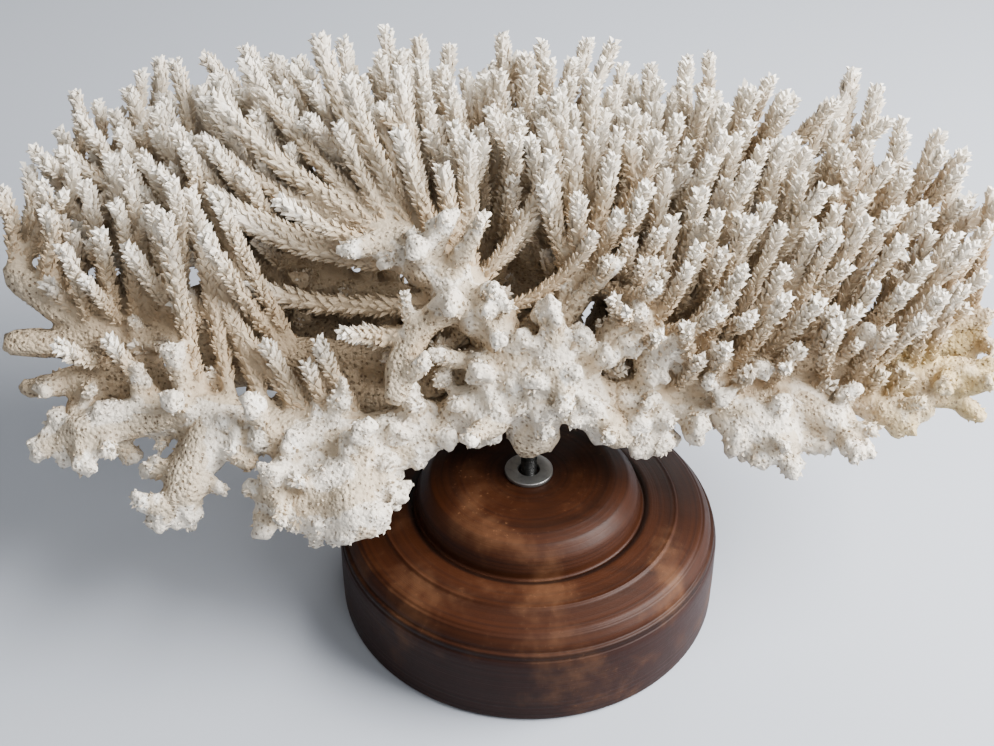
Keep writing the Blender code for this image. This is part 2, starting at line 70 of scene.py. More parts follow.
# limb: distance from the heart at which it is split off, then its routes with the radius at both ends
LIMBS = {
    "front_left_limb": (46, [
        ([HEART, (-48, -7, 106), (-95, -11, 105), (-134, -4, 107), (-160, 4, 108),
          (-193, 2, 108), (-224, -7, 101)], 12.0, 9.0),
        ([(-88, -11, 104), (-86, -27, 99), (-80, -44, 88)], 10.0, 10.5),
        ([(-104, -10, 105), (-112, -28, 97), (-120, -38, 88)], 9.0, 8.5),
        ([(-158, 3, 107), (-164, -16, 96), (-170, -37, 83)], 9.0, 7.0),
    ]),
    "left_limb": (57, [
        ([HEART, (-58, 25, 121), (-111, 33, 121), (-158, 36, 125), (-196, 36, 133),
          (-228, 38, 146), (-250, 46, 162)], 11.0, 8.5),
        ([(-196, 36, 133), (-226, 30, 131), (-252, 25, 134)], 8.0, 7.0),
        ([(-180, 36, 129), (-214, 22, 119), (-246, 14, 114)], 8.0, 5.5),
    ]),
    "back_left_limb": (60, [
        ([HEART, (-50, 55, 130), (-112, 78, 136), (-165, 92, 144), (-206, 108, 154),
          (-238, 126, 165)], 11.0, 7.5),
    ]),
    "back_limb": (60, [
        ([HEART, (-18, 66, 134), (-42, 104, 142), (-66, 132, 152), (-92, 150, 164)], 11.0, 7.5),
        ([(-36, 96, 141), (-14, 124, 150), (4, 146, 162)], 8.5, 7.0),
    ]),
    "back_right_limb": (60, [
        ([HEART, (22, 62, 134), (54, 92, 143), (86, 116, 152), (112, 132, 164)], 11.0, 7.5),
    ]),
    "right_limb": (56, [
        ([HEART, (48, 37, 128), (90, 46, 135), (134, 58, 145), (170, 76, 154), (198, 88, 164)], 11.0, 7.5),
    ]),
    "front_right_limb": (46, [
        ([HEART, (44, 7, 113), (86, 13, 112), (127, 20, 113), (161, 22, 114), (188, 22, 117),
          (216, 22, 121)], 12.0, 7.0),
        ([(66, 10, 113), (104, 18, 124), (140, 28, 128), (180, 38, 130), (222, 43, 135)], 9.0, 5.5),
        ([(58, 8, 113), (60, 12, 128), (56, 16, 146)], 9.0, 7.0),
        ([(150, 21, 114), (168, 12, 108), (176, 2, 108)], 9.0, 8.0),
    ]),
    "fan_limb": (32, [
        ([HEART, (-12, 13, 148), (-27, 24, 162), (-44, 33, 173), (-62, 42, 183)], 12.0, 9.5),
        ([(-28, 24, 162), (-46, 14, 157), (-58, 2, 146), (-62, -12, 130)], 8.5, 7.0),
    ]),
    "centre_limb": (38, [
        ([HEART, (14, 22, 146), (24, 34, 160), (32, 48, 172)], 10.0, 8.5),
    ]),
}
# the trunk that all limbs leave: its routes with the radius at both ends
FOOT = [([(3, -4, 98), (2, -2, 107), HEART], 13.5, 16.0),
        ([HEART, (9, -3, 130), (14, -1, 142)], 13.0, 10.5)]
# branchlets that stand out: limb, near which point of it they start, tip and radius
FINGERS = [
    ("front_left_limb", (-158, 4, 108), (-170, 36, 199), 5.8),
    ("front_left_limb", (-144, -2, 108), (-161, 58, 198), 5.2),
    ("front_left_limb", (-125, -5, 107), (-156, 52, 182), 5.4),
    ("front_left_limb", (-112, -8, 105), (-153, 40, 158), 5.0),
    ("front_left_limb", (-98, -11, 105), (-124, 12, 141), 5.0),
    ("front_left_limb", (-90, -12, 104), (-104, 2, 137), 5.0),
    ("front_left_limb", (-76, -10, 105), (-98, 6, 147), 4.8),
    ("front_left_limb", (-176, 3, 108), (-198, 10, 145), 5.5),
    ("left_limb", (-190, 35, 133), (-202, 76, 206), 5.4),
    ("left_limb", (-180, 35, 131), (-191, 60, 208), 5.4),
    ("left_limb", (-170, 35, 129), (-178, 46, 196), 5.2),
    ("left_limb", (-205, 36, 137), (-212, 62, 200), 5.4),
    ("left_limb", (-200, 36, 137), (-203, 40, 186), 5.2),
    ("left_limb", (-158, 35, 126), (-188, 32, 184), 5.2),
    ("left_limb", (-212, 36, 141), (-229, 32, 163), 5.6),
    ("left_limb", (-218, 36, 142), (-223, 66, 174), 6.4),
    ("left_limb", (-204, 28, 122), (-218, -2, 152), 5.2),
    ("fan_limb", (-60, 41, 182), (-151, 96, 229), 7.0),
    ("fan_limb", (-58, 40, 181), (-138, 114, 239), 5.6),
    ("fan_limb", (-54, 38, 179), (-104, 138, 240), 7.4),
    ("fan_limb", (-60, 41, 182), (-157, 87, 211), 5.2),
    ("fan_limb", (-50, 36, 176), (-153, 66, 195), 5.2),
    ("fan_limb", (-46, 34, 174), (-141, 55, 188), 5.6),
    ("fan_limb", (-56, 39, 179), (-115, 45, 201), 5.2),
    ("fan_limb", (-28, 24, 162), (-136, 46, 154), 7.0),
    ("fan_limb", (-50, 10, 155), (-77, 9, 151), 7.5),
    ("fan_limb", (-48, 35, 175), (-86, 96, 238), 6.0),
    ("fan_limb", (-42, 32, 172), (-62, 104, 238), 6.4),
    ("fan_limb", (-36, 29, 169), (-60, 66, 226), 6.0),
    ("fan_limb", (-32, 28, 166), (-40, 58, 212), 6.0),
    ("fan_limb", (-24, 22, 160), (-28, 66, 222), 5.8),
    ("centre_limb", (14, 22, 146), (8, 44, 210), 5.2),
    ("centre_limb", (18, 27, 151), (24, 40, 206), 5.4),
    ("centre_limb", (24, 34, 160), (22, 70, 221), 5.2),
    ("centre_limb", (28, 40, 165), (40, 58, 217), 5.4),
    ("centre_limb", (22, 30, 156), (42, 34, 200), 5.0),
    ("centre_limb", (32, 48, 172), (56, 48, 208), 5.2),
    ("right_limb", (148, 62, 148), (165, 128, 226), 6.0),
    ("right_limb", (160, 70, 152), (176, 118, 222), 6.0),
    ("right_limb", (190, 84, 161), (236, 78, 178), 7.5),
    ("right_limb", (180, 80, 158), (206, 100, 206), 5.6),
]
# broken stubs on the side of the coral that faces forward: tip and radius
KNOBS = [
    ((-37, 14, 167), 7.0), ((-17, 12, 174), 6.0), ((10, 8, 168), 7.0), ((24, 5, 156), 6.0),
    ((17, 0, 145), 6.5), ((39, 2, 143), 6.5), ((-18, -4, 130), 7.0), ((4, -7, 131), 6.5),
    ((21, -6, 129), 6.5), ((31, -9, 117), 6.5), ((-22, -12, 110), 6.0), ((-41, 0, 131), 5.5),
    ((-38, 28, 203), 7.0), ((-22, 26, 204), 5.5), ((-52, 20, 193), 7.0), ((-84, 30, 186), 6.5),
    ((-61, -20, 115), 7.0), ((-52, -22, 100), 6.5), ((-64, -24, 95), 7.0), ((-75, -26, 104), 6.5),
    ((-84, -26, 116), 6.0), ((-20, -14, 101), 7.5), ((8, -17, 107), 6.0), ((33, -12, 105), 7.0),
    ((57, -13, 100), 7.5), ((68, -12, 104), 4.5), ((62, 0, 134), 6.0), ((68, 3, 147), 7.0),
    ((52, 8, 166), 6.0), ((91, 3, 146), 6.5), ((113, 1, 137), 6.0), ((83, -10, 113), 6.5),
    ((102, -11, 108), 6.5), ((119, -7, 112), 7.0), ((131, -4, 102), 5.0), ((146, -1, 107), 7.0),
    ((161, 10, 150), 6.5), ((186, -2, 104), 7.0), ((-86, -56, 82), 7.5), ((-70, -52, 92), 7.0),
    ((-98, -52, 84), 7.0), ((-106, -44, 78), 6.0), ((-126, -48, 80), 6.5), ((-130, -36, 94), 6.0),
    ((-176, -40, 76), 6.5), ((-66, -34, 84), 6.0), ((-142, -20, 104), 6.0), ((-212, -22, 96), 7.5),
    ((-236, -12, 98), 7.0), ((-205, 10, 92), 6.5), ((-168, -8, 124), 7.0), ((-112, -26, 113), 6.5),
    ((-128, -20, 110), 6.5), ((-96, -36, 104), 6.5),
]
# outline of the field of upright branchlets, seen from above
FIELD = [(-215, 25), (-252, 50), (-246, 105), (-238, 142), (-212, 158), (-192, 175), (-150, 186), (-95, 183),
         (-30, 184), (33, 180), (92, 157), (125, 130), (158, 140), (188, 112), (215, 84), (232, 58), (212, 25),
         (180, 2), (120, -6), (60, -8), (35, 10), (14, 45), (-20, 75), (-70, 85), (-130, 75), (-140, 30)]
# the branchlets lean away from this point
FOCUS = np.array((0.0, 40.0, -70.0))
# smallest distance between the tips of two branchlets
FIELD_SPACING = 22.5
# the plan's rectangle in which places for branchlets are drawn
FIELD_X = (-255, 235)
FIELD_Y = (-10, 188)
# height of the tips at the front edge, how far they rise behind it, and how far the ends and the back fall
CANOPY_FRONT = 164
CANOPY_RISE = 59
CANOPY_END_FALL = 22
CANOPY_BACK_FALL = 7
# radius of a broken stub along its length, as a share of its own radius
STUB_SHAPE = np.array((0.95, 1.0, 1.0, 0.95, 0.85))
# share of a limb's radius that a branchlet's root may have
ROOT_SHARE = 0.85
# rings along a branchlet
TWIG_STEPS = 12
OUT_OF_REACH = 1e9


def smooth_route(points, step=6.0):
    """A smooth route through the given points."""
    p = [np.array(q, float) for q in points]
    p = [2 * p[0] - p[1]] + p + [2 * p[-1] - p[-2]]
    out = []
    for a, b, c, d in zip(p, p[1:], p[2:], p[3:]):
        n = max(2, int(np.linalg.norm(c - b) / step))
        for i in range(n):
            t = i / n
            out.append(0.5 * (2 * b + (c - a) * t + (2 * a - 5 * b + 4 * c - d) * t * t
                              + (3 * b - a - 3 * c + d) * t ** 3))
    out.append(p[-2])
    return np.array(out)


def unit(v):
    v = np.asarray(v, float)
    return v / max(float(np.linalg.norm(v)), 1e-9)


def bend(a, b, start, end, n):
    """A curve from a to b that leaves and arrives in the given directions."""
    length = np.linalg.norm(b - a)
    p1 = a + start * length * 0.36
    p2 = b - end * length * 0.36
    t = np.linspace(0, 1, n)[:, None]
    return a * (1 - t) ** 3 + 3 * p1 * t * (1 - t) ** 2 + 3 * p2 * t * t * (1 - t) + b * t ** 3


def inside(x, y, outline):
    """Whether a point of the plan lies within an outline."""
    hit = False
    for (x0, y0), (x1, y1) in zip(outline, outline[1:] + outline[:1]):
        if (y0 > y) != (y1 > y) and x < x0 + (y - y0) / (y1 - y0) * (x1 - x0):
            hit = not hit
    return hit


def canopy(x, y):
    """Height of the branchlets' tips over a point of the plan."""
    ramp = min(1.0, max(0.0, (y + 6) / 92))
    ramp = ramp * (2 - ramp)
    ends = (abs(x + 10) / 240) ** 2.4
    return (CANOPY_FRONT + CANOPY_RISE * ramp - CANOPY_END_FALL * ends
            - CANOPY_BACK_FALL * max(0.0, (y - 150) / 35))


def split_route(points, radius_0, radius_1, cut, gap=0.3):
    """Cut a route at a distance from the heart: the part that stays with the trunk, and the part beyond."""
    path = smooth_route(points)
    radius = np.linspace(radius_0, radius_1, len(path))
    far = np.linalg.norm(path - np.array(HEART), axis=1)
    if far[0] > cut:
        return None, (path, radius)
    k = int(np.argmax(far > cut))
    t = (cut - far[k - 1]) / (far[k] - far[k - 1])
    at = path[k - 1] + (path[k] - path[k - 1]) * t
    way = unit(path[k] - path[k - 1])
    r = radius[k - 1] + (radius[k] - radius[k - 1]) * t
    inner = (np.vstack([path[:k - 1], at - 5 * way, at]), np.append(radius[:k - 1], (r, r)))
    outer = (np.vstack([at + gap * way, at + 5 * way, path[k + 1:]]), np.append((r, r), radius[k + 1:]))
    return inner, outer


class Space:
    """The room that the coral already takes up, kept as balls along every tube."""

    def __init__(self):
        self.at = np.zeros((0, 3))
        self.radius = np.zeros(0)
        self.owner = np.zeros(0, int)
        self.twig = np.zeros(0, int)

    def fill(self, path, radius, owner, twig):
        self.at = np.concatenate([self.at, path])
        self.radius = np.concatenate([self.radius, radius])
        self.owner = np.concatenate([self.owner, np.full(len(path), owner)])
        self.twig = np.concatenate([self.twig, np.full(len(path), twig)])

    def clear(self, path, radius, owner, own_gap, gap):
        """Whether a new branchlet keeps its distance from other limbs and from its own limb's branchlets."""
        room = np.linalg.norm(path[:, None] - self.at[None], axis=2) - radius[:, None] - self.radius[None]
        if (room[:, self.owner != owner] < gap).any():
            return False
        skip = max(1, int(len(path) * 0.35))
        mine = room[skip:][:, (self.owner == owner) & (self.twig == 1)]
        return not (mine.size and (mine < own_gap).any())


def placed_at(branches, offset):
    """Routes moved by an offset."""
    return [(path + offset, radius) for path, radius in branches]


def grow():
    """The limbs' routes, and the branchlets and stubs on them, each with the limb that it belongs to."""
    rng = random.Random(SEED)
    names = ["foot"] + list(LIMBS)
    tubes = {"foot": []}
    for points, r0, r1 in FOOT:
        path = smooth_route(points)
        tubes["foot"].append((path, np.linspace(r0, r1, len(path))))
    for name, (cut, routes) in LIMBS.items():
        tubes[name] = []
        for points, r0, r1 in routes:
            inner, outer = split_route(points, r0, r1, cut)
            if inner is not None:
                tubes["foot"].append(inner)
            tubes[name].append(outer)
    space = Space()
    roots_at, roots_radius, roots_owner = [], [], []
    for own, name in enumerate(names):
        for path, radius in tubes[name]:
            space.fill(path, radius, own, 0)
            for p, r in zip(path, radius):
                roots_at.append(p)
                roots_radius.append(r)
                roots_owner.append(own)
    roots_at = np.array(roots_at)
    roots_radius = np.array(roots_radius)
    roots_owner = np.array(roots_owner)
    twigs, used, tips = [], [], []

    def add(path, radius, owner, kind):
        twigs.append({"limb": names[owner], "path": path, "radius": radius, "kind": kind})
        space.fill(path, radius, owner, 1)
        used.append(path[0])
        tips.append(path[-1])

    for limb, near, tip, fat in FINGERS:
        owner = names.index(limb)
        b = np.array(tip, float)
        ids = np.where(roots_owner == owner)[0]
        ids = ids[np.argsort(np.linalg.norm(roots_at[ids] - np.array(near, float), axis=1))][:5]
        for lift, j in itertools.product((-0.2, 0.1, 0.35, 0.6), ids):
            flat = unit(b - roots_at[j])
            leave = unit(flat + np.array((0, 0, lift)))
            arrive = unit(flat + np.array((0, 0, 0.3 - lift * 0.5)))
            path = bend(roots_at[j], b, leave, arrive, TWIG_STEPS)
            radius = np.linspace(min(fat, roots_radius[j] * ROOT_SHARE), fat * 0.8, TWIG_STEPS)
            if space.clear(path, radius, owner, -5, 1.0):
                add(path, radius, owner, "finger")
                break
    for tip, fat in KNOBS:
        tip = np.array(tip, float)
        far = np.linalg.norm(roots_at - tip, axis=1) - 0.6 * roots_radius
        for j in np.argsort(far)[:10]:
            out = unit(tip - roots_at[j])
            path = bend(roots_at[j], tip, out, out, len(STUB_SHAPE))
            radius = STUB_SHAPE * fat
            radius[0] = min(radius[0], roots_radius[j] * ROOT_SHARE)
            if space.clear(path, radius, roots_owner[j], -40, 1.0):
                add(path, radius, roots_owner[j], "knob")
                break
    for _ in range(3000):
        x, y = rng.uniform(*FIELD_X), rng.uniform(*FIELD_Y)
        dz, fat = rng.uniform(-9, 9), rng.uniform(4.7, 5.7)
        turn = np.array((rng.uniform(-0.10, 0.10), rng.uniform(-0.10, 0.10), 0.0))
        if not inside(x, y, FIELD):
            continue
        tip = np.array((x, y, canopy(x, y) + dz))
        gap = np.array(tips) - tip
        if (np.linalg.norm(gap[:, :2], axis=1) + 0.4 * np.abs(gap[:, 2])).min() < FIELD_SPACING:
            continue
        aim = unit(unit(tip - FOCUS) + turn)
        rel = tip - roots_at
        dist = np.linalg.norm(rel, axis=1)
        along = rel @ aim
        cost = dist + 1.1 * np.linalg.norm(rel - along[:, None] * aim, axis=1)
        near = np.linalg.norm(roots_at[:, None] - np.array(used)[None], axis=2).min(1)
        cost = cost + 14 * np.clip(1 - near / 9, 0, 1)
        cost[(along < 18) | (dist > 128) | (roots_owner == 0)] = OUT_OF_REACH
        for j in np.argsort(cost)[:16]:
            if cost[j] == OUT_OF_REACH:
                break
            out = unit(tip - roots_at[j])
            side = np.array((out[0], out[1], 0.0))
            arrive = unit(out + aim + np.array((0, 0, 0.25)))
            path = bend(roots_at[j], tip, unit(out + side * 0.5), arrive, TWIG_STEPS)
            radius = np.linspace(min(fat, roots_radius[j] * ROOT_SHARE), fat * 0.8, TWIG_STEPS)
            if space.clear(path, radius, roots_owner[j], -1.5, 1.2):
                add(path, radius, roots_owner[j], "field")
                break
    for twig in twigs:
        twig["path"] = twig["path"] + OFFSET
    return {name: placed_at(branches, OFFSET) for name, branches in tubes.items()}, twigs


# thicker joins round the heart, seen between the stubs: limb, points and the radius at both ends
JOINS = [
    ("foot", [(-26, -2, 112), (0, 2, 116), (28, 2, 114)], 12.0, 12.0),
    ("foot", [(0, 4, 112), (2, 18, 128), (6, 30, 144)], 13.0, 11.0),
    ("foot", [(-22, 14, 130), (2, 6, 138), (26, 14, 132)], 11.0, 11.0),
    ("front_left_limb", [(-54, -4, 108), (-80, -10, 105), (-104, -10, 104)], 13.0, 12.0),
    ("front_left_limb", [(-78, -14, 104), (-84, -30, 98), (-86, -45, 90)], 14.0, 13.0),
    ("front_left_limb", [(-98, -22, 100), (-94, -40, 91), (-78, -50, 88)], 10.0, 11.0),
    ("front_left_limb", [(-104, -14, 104), (-116, -28, 98), (-122, -38, 93)], 11.0, 9.0),
    ("front_left_limb", [(-150, -2, 107), (-160, -18, 99), (-167, -33, 89)], 14.0, 9.0),
    ("front_left_limb", [(-146, 2, 108), (-185, 4, 108), (-220, -5, 103)], 12.5, 11.0),
    ("front_right_limb", [(50, 8, 114), (80, 14, 117), (112, 22, 118), (146, 28, 118)], 13.0, 9.0),
    ("front_right_limb", [(70, 22, 116), (110, 34, 120), (150, 40, 124)], 11.0, 9.0),
    ("fan_limb", [(-26, 22, 158), (-40, 32, 168), (-58, 40, 178)], 13.0, 11.0),
    ("left_limb", [(-56, 26, 108), (-94, 60, 107), (-132, 72, 108), (-180, 74, 112)], 13.0, 10.0),
    ("left_limb", [(-70, 14, 106), (-98, 26, 105), (-130, 40, 107), (-168, 44, 108)], 11.0, 10.0),
    ("left_limb", [(-120, 40, 112), (-150, 66, 112), (-176, 92, 116)], 11.0, 9.0),
    ("back_left_limb", [(-44, 56, 112), (-90, 84, 110), (-130, 100, 114), (-170, 112, 120)], 12.0, 9.0),
    ("back_limb", [(-6, 70, 112), (4, 112, 112), (10, 146, 118)], 15.0, 11.0),
    ("back_limb", [(-20, 84, 116), (0, 120, 118), (24, 150, 122)], 12.0, 10.0),
    ("front_right_limb", [(28, 24, 108), (44, 40, 110), (62, 58, 114)], 12.0, 10.0),
    ("left_limb", [(-196, 30, 112), (-206, 62, 118), (-220, 88, 124)], 10.0, 9.0),
    ("left_limb", [(-150, 20, 108), (-186, 26, 110), (-214, 22, 110)], 9.0, 8.0),
    ("front_right_limb", [(32, 34, 114), (43, 66, 116), (52, 98, 118)], 15.0, 12.0),
    ("front_right_limb", [(96, 6, 112), (110, -2, 106), (122, -8, 101)], 12.0, 13.0),
    ("front_right_limb", [(122, 14, 114), (140, 4, 109), (151, -2, 106)], 11.0, 11.0),
    ("front_right_limb", [(166, 30, 118), (186, 22, 114), (206, 16, 112)], 9.0, 9.5),
    ("front_right_limb", [(172, 36, 120), (200, 42, 122), (226, 44, 124)], 8.0, 7.0),
    ("foot", [(20, -2, 114), (34, -8, 112), (44, -12, 107)], 10.0, 8.0),
    ("foot", [(-14, -2, 114), (-18, -12, 112), (-18, -16, 111)], 10.0, 8.0),
]

# broken stubs standing out of the middle towards the front: root, end and radius
MIDDLE_STUBS = [
    ((-30, 26, 156), (-38, 8, 171), 7.5), ((-30, 26, 156), (-17, 12, 175), 5.5),
    ((-30, 26, 156), (-20, 8, 167), 5.0), ((-30, 26, 156), (-11, 10, 168), 5.0),
    ((6, 28, 142), (7, 12, 166), 6.5), ((26, 14, 132), (25, 4, 156), 5.5),
    ((26, 14, 132), (36, 2, 144), 5.5), ((2, 8, 136), (19, -8, 142), 6.0),
    ((28, 2, 114), (29, -10, 126), 5.5), ((-22, 14, 130), (-24, -6, 143), 7.0),
    ((-26, -2, 112), (-24, -14, 119), 5.0), ((-26, -2, 112), (-17, -14, 126), 5.0),
    ((2, 8, 136), (1, -10, 139), 6.0), ((-54, -4, 108), (-60, -4, 135), 6.5),
    ((-54, -4, 108), (-55, -10, 126), 5.0), ((26, 14, 132), (47, 16, 160), 6.0),
    ((80, 14, 117), (64, 10, 149), 6.5), ((50, 8, 114), (59, 6, 138), 6.0),
    ((6, 28, 142), (39, 24, 183), 5.0), ((26, 14, 132), (59, 24, 183), 5.0),
    ((50, 8, 114), (52, -10, 113), 7.5), ((50, 8, 114), (66, -8, 114), 5.0),
    ((-22, 14, 130), (-43, 2, 146), 5.0), ((-26, -2, 112), (-35, -10, 126), 5.0),
    ((28, 2, 114), (20, -12, 113), 6.5), ((-54, -4, 108), (-52, -14, 107), 6.0),
]

# broken stubs along the front edge: root, end and radius; each belongs to the front limb on its side
EDGE_STUBS = [
    ((-83, -26, 104), (-78, -27, 126), 6.0), ((-96, -4, 106), (-90, -4, 128), 6.5),
    ((-111, -10, 104), (-101, -4, 116), 7.0), ((-125, -16, 106), (-130, -13, 130), 6.5),
    ((-136, -13, 106), (-144, -10, 116), 6.0), ((-134, -22, 100), (-142, -20, 106), 6.0),
    ((-119, -32, 98), (-123, -36, 106), 6.5), ((-116, -40, 92), (-125, -45, 80), 5.5),
    ((-106, -38, 94), (-113, -42, 88), 5.5), ((-97, -42, 94), (-103, -48, 78), 6.0),
    ((-108, -43, 92), (-111, -46, 82), 5.5), ((-78, -32, 98), (-63, -36, 94), 8.0),
    ((-80, -42, 94), (-75, -46, 82), 7.0), ((-90, -43, 92), (-88, -47, 78), 6.0),
    ((-69, -19, 102), (-51, -18, 106), 7.0), ((-65, -10, 104), (-53, -12, 112), 6.0),
    ((-188, 5, 104), (-189, 9, 130), 5.5), ((-201, 5, 104), (-204, 0, 114), 7.5),
    ((-212, -2, 100), (-231, 0, 106), 7.5), ((-215, -3, 98), (-225, -10, 92), 6.5),
    ((-167, 8, 104), (-171, 10, 142), 5.5), ((-165, -23, 96), (-183, -19, 94), 6.0),
    ((-162, -31, 90), (-176, -37, 78), 7.5), ((-161, -26, 92), (-166, -35, 74), 6.5),
    ((-105, -20, 100), (-109, -20, 112), 5.5), ((-88, -28, 100), (-85, -29, 114), 5.0),
    ((-73, -24, 98), (-67, -29, 106), 5.0), ((-153, 18, 106), (-154, 17, 124), 5.0),
    ((60, 4, 110), (64, -12, 101), 5.5), ((76, 8, 112), (80, -8, 104), 6.0),
    ((96, 6, 110), (100, -12, 101), 6.0), ((110, -2, 106), (110, -16, 96), 6.0),
    ((122, -6, 102), (127, -20, 95), 6.5), ((122, 4, 106), (136, -8, 98), 5.5),
    ((140, 4, 108), (143, -10, 100), 5.5), ((150, -2, 106), (161, -12, 99), 6.0),
    ((160, 24, 114), (168, 8, 106), 5.5), ((186, 22, 114), (192, 6, 108), 6.0),
    ((206, 16, 112), (219, 8, 106), 6.0), ((206, 16, 112), (212, 14, 124), 5.0),
    ((150, 10, 112), (154, 2, 124), 5.5), ((118, 8, 110), (121, -4, 120), 6.0),
    ((94, 8, 114), (92, -4, 124), 6.0), ((176, 30, 118), (180, 18, 126), 5.5),
]


class Crowd:
    """Balls along everything grown so far, for quick tests of the room that is left."""

    def __init__(self, paths, radii):
        self.at = np.concatenate(paths)
        self.fat = np.concatenate(radii)

    def add(self, path, radius):
        self.at = np.vstack([self.at, path])
        self.fat = np.append(self.fat, radius)

    def room(self, path, radius):
        near = ((self.at > path.min(0) - 22) & (self.at < path.max(0) + 22)).all(axis=1)
        if not near.any():
            return 99.0
        gap = np.linalg.norm(path[:, None] - self.at[near][None], axis=2)
        return float((gap - radius[:, None] - self.fat[near][None]).min())


def limb_points(names, tubes):
    """Every point along the limbs, the radius there, and the number of the limb that it belongs to."""
    at = np.concatenate([path for name in names for path, radius in tubes[name]])
    fat = np.concatenate([radius for name in names for path, radius in tubes[name]])
    owner = np.array([i for i, name in enumerate(names) for path, radius in tubes[name] for p in path])
    return at, fat, owner


def any_way(rng):
    """A direction drawn at random, of no set length."""
    return np.array([rng.gauss(0, 1) for _ in range(3)])


def crowd_of(twigs, first=0):
    return Crowd([twig["path"][first:] for twig in twigs], [twig["radius"][first:] for twig in twigs])


def add_bridges(rng, names, tubes):
    """Bridges between neighbouring limbs, such as grow where branches touch."""
    at, _, owner = limb_points(names, tubes)
    middles = [np.array((0.0, 0.0, -500.0))]
    for _ in range(2600):
        j, k = rng.randrange(len(at)), rng.randrange(len(at))
        span = np.linalg.norm(at[j] - at[k])
        middle = (at[j] + at[k]) / 2
        if owner[j] == owner[k] or owner[j] == 0 or not 20 < span < 62 or middle[1] < 8:
            continue
        if np.linalg.norm(np.array(middles) - middle, axis=1).min() < 17:
            continue
        sag = middle + np.array((rng.uniform(-5, 5), rng.uniform(-5, 5), rng.uniform(-9, 3)))
        path = smooth_route([at[j], sag, at[k]])
        waist = np.abs(np.linspace(-1.5, 1.5, len(path)))
        tubes[names[owner[j]]].append((path, rng.uniform(5.0, 7.5) + waist))
        middles.append(middle)


def add_between(rng, names, tubes, twigs, apart, tries, lowest):
    """More branchlets in the gaps of the field, thinner and a little lower than the first ones."""
    at, fat, owner = limb_points(names, tubes)
    at, fat, owner = at[owner > 0], fat[owner > 0], owner[owner > 0]
    crowd = crowd_of(twigs, 3)
    tips = np.array([twig["path"][-1] for twig in twigs])
    for _ in range(tries):
        x, y = rng.uniform(*FIELD_X), rng.uniform(*FIELD_Y)
        drop, r = rng.uniform(lowest - 25, lowest), rng.uniform(3.9, 5.0)
        turn = np.array((rng.uniform(-0.18, 0.18), rng.uniform(-0.18, 0.18), 0.0))
        if not inside(x, y, FIELD):
            continue
        tip = np.array((x, y, canopy(x, y) - drop))
        gap = tips - tip
        open_front = 1.3 if x < -60 and y < 50 else 1.0
        if (np.linalg.norm(gap[:, :2], axis=1) + 0.4 * np.abs(gap[:, 2])).min() < apart * open_front:
            continue
        aim = unit(unit(tip - FOCUS) + turn)
        rel = tip - at
        along = rel @ aim
        cost = np.linalg.norm(rel, axis=1) + 1.1 * np.linalg.norm(rel - along[:, None] * aim, axis=1)
        cost[along < 16] = OUT_OF_REACH
        for j in np.argsort(cost)[:40:8]:
            if cost[j] > 190:
                break
            out = unit(tip - at[j])
            side = np.array((out[0], out[1], 0.0))
            arrive = unit(out + aim + np.array((0, 0, 0.25)))
            path = bend(at[j], tip, unit(out + side * 0.5), arrive, TWIG_STEPS)
            radius = np.linspace(min(r, fat[j] * ROOT_SHARE), r * 0.8, TWIG_STEPS)
            if crowd.room(path[4:], radius[4:]) > -2.2:
                twigs.append({"limb": names[owner[j]], "path": path, "radius": radius, "kind": "field"})
                crowd.add(path[3:], radius[3:])
                tips = np.vstack([tips, tip])
                break


def add_sides(rng, twigs, most):
    """Short side shoots on the branchlets."""
    crowd = crowd_of(twigs)
    hosts = [twig for twig in twigs if twig["kind"] != "knob"]
    made = 0
    for _ in range(most * 30):
        host = rng.choice(hosts)
        i = rng.randrange(4, 9)
        a, way = host["path"][i], unit(host["path"][i + 1] - host["path"][i])
        out = unit(np.cross(way, any_way(rng)))
        long, r = rng.uniform(13, 21), host["radius"][i] * rng.uniform(0.66, 0.80)
        tip = a + unit(out + way * 1.1) * long
        path = bend(a, tip, unit(out + way * 0.5), unit(out * 0.4 + way), 7)
        radius = np.linspace(r, r * 0.85, 7)
        if crowd.room(path[4:], radius[4:]) < -1.5 or tip[2] > 238:
            continue
        twigs.append({"limb": host["limb"], "path": path, "radius": radius, "kind": "side"})
        crowd.add(path[3:], radius[3:])
        made += 1
        if made == most:
            break


def add_stubs(rng, names, tubes, twigs, most):
    """Short broken stubs all over the limbs, and mostly on the side that faces forward."""
    at, fat, owner = limb_points(names, tubes)
    crowd = crowd_of(twigs)
    tips = np.array([twig["path"][-1] for twig in twigs])
    made = 0
    for _ in range(9000):
        j = rng.randrange(len(at))
        out = unit((rng.gauss(0, 1), rng.gauss(-0.5, 1), rng.gauss(0, 0.8)))
        long, r = fat[j] * 0.9 + rng.uniform(5, 15), rng.uniform(4.0, 6.4)
        tip = at[j] + out * long
        if not (-250 < tip[0] < 232 and -92 < tip[1] < 182 and 80 < tip[2] < 236):
            continue
        if abs(tip[0]) < 28 and abs(tip[1]) < 34 and tip[2] < 113:
            continue
        if tip[0] < -60 and tip[1] < 40 and rng.random() < 0.75:
            continue
        if (np.linalg.norm(at - tip, axis=1) - fat).min() < 3:
            continue
        if np.linalg.norm(tips - tip, axis=1).min() < 11.5:
            continue
        path = bend(at[j], tip, out, out, len(STUB_SHAPE))
        radius = STUB_SHAPE * r
        if crowd.room(path[-1:], radius[-1:] * 0.5) < -1.0:
            continue
        twigs.append({"limb": names[owner[j]], "path": path, "radius": radius, "kind": "knob"})
        tips = np.vstack([tips, tip])
        crowd.add(path, radius)
        made += 1
        if made == most:
            break


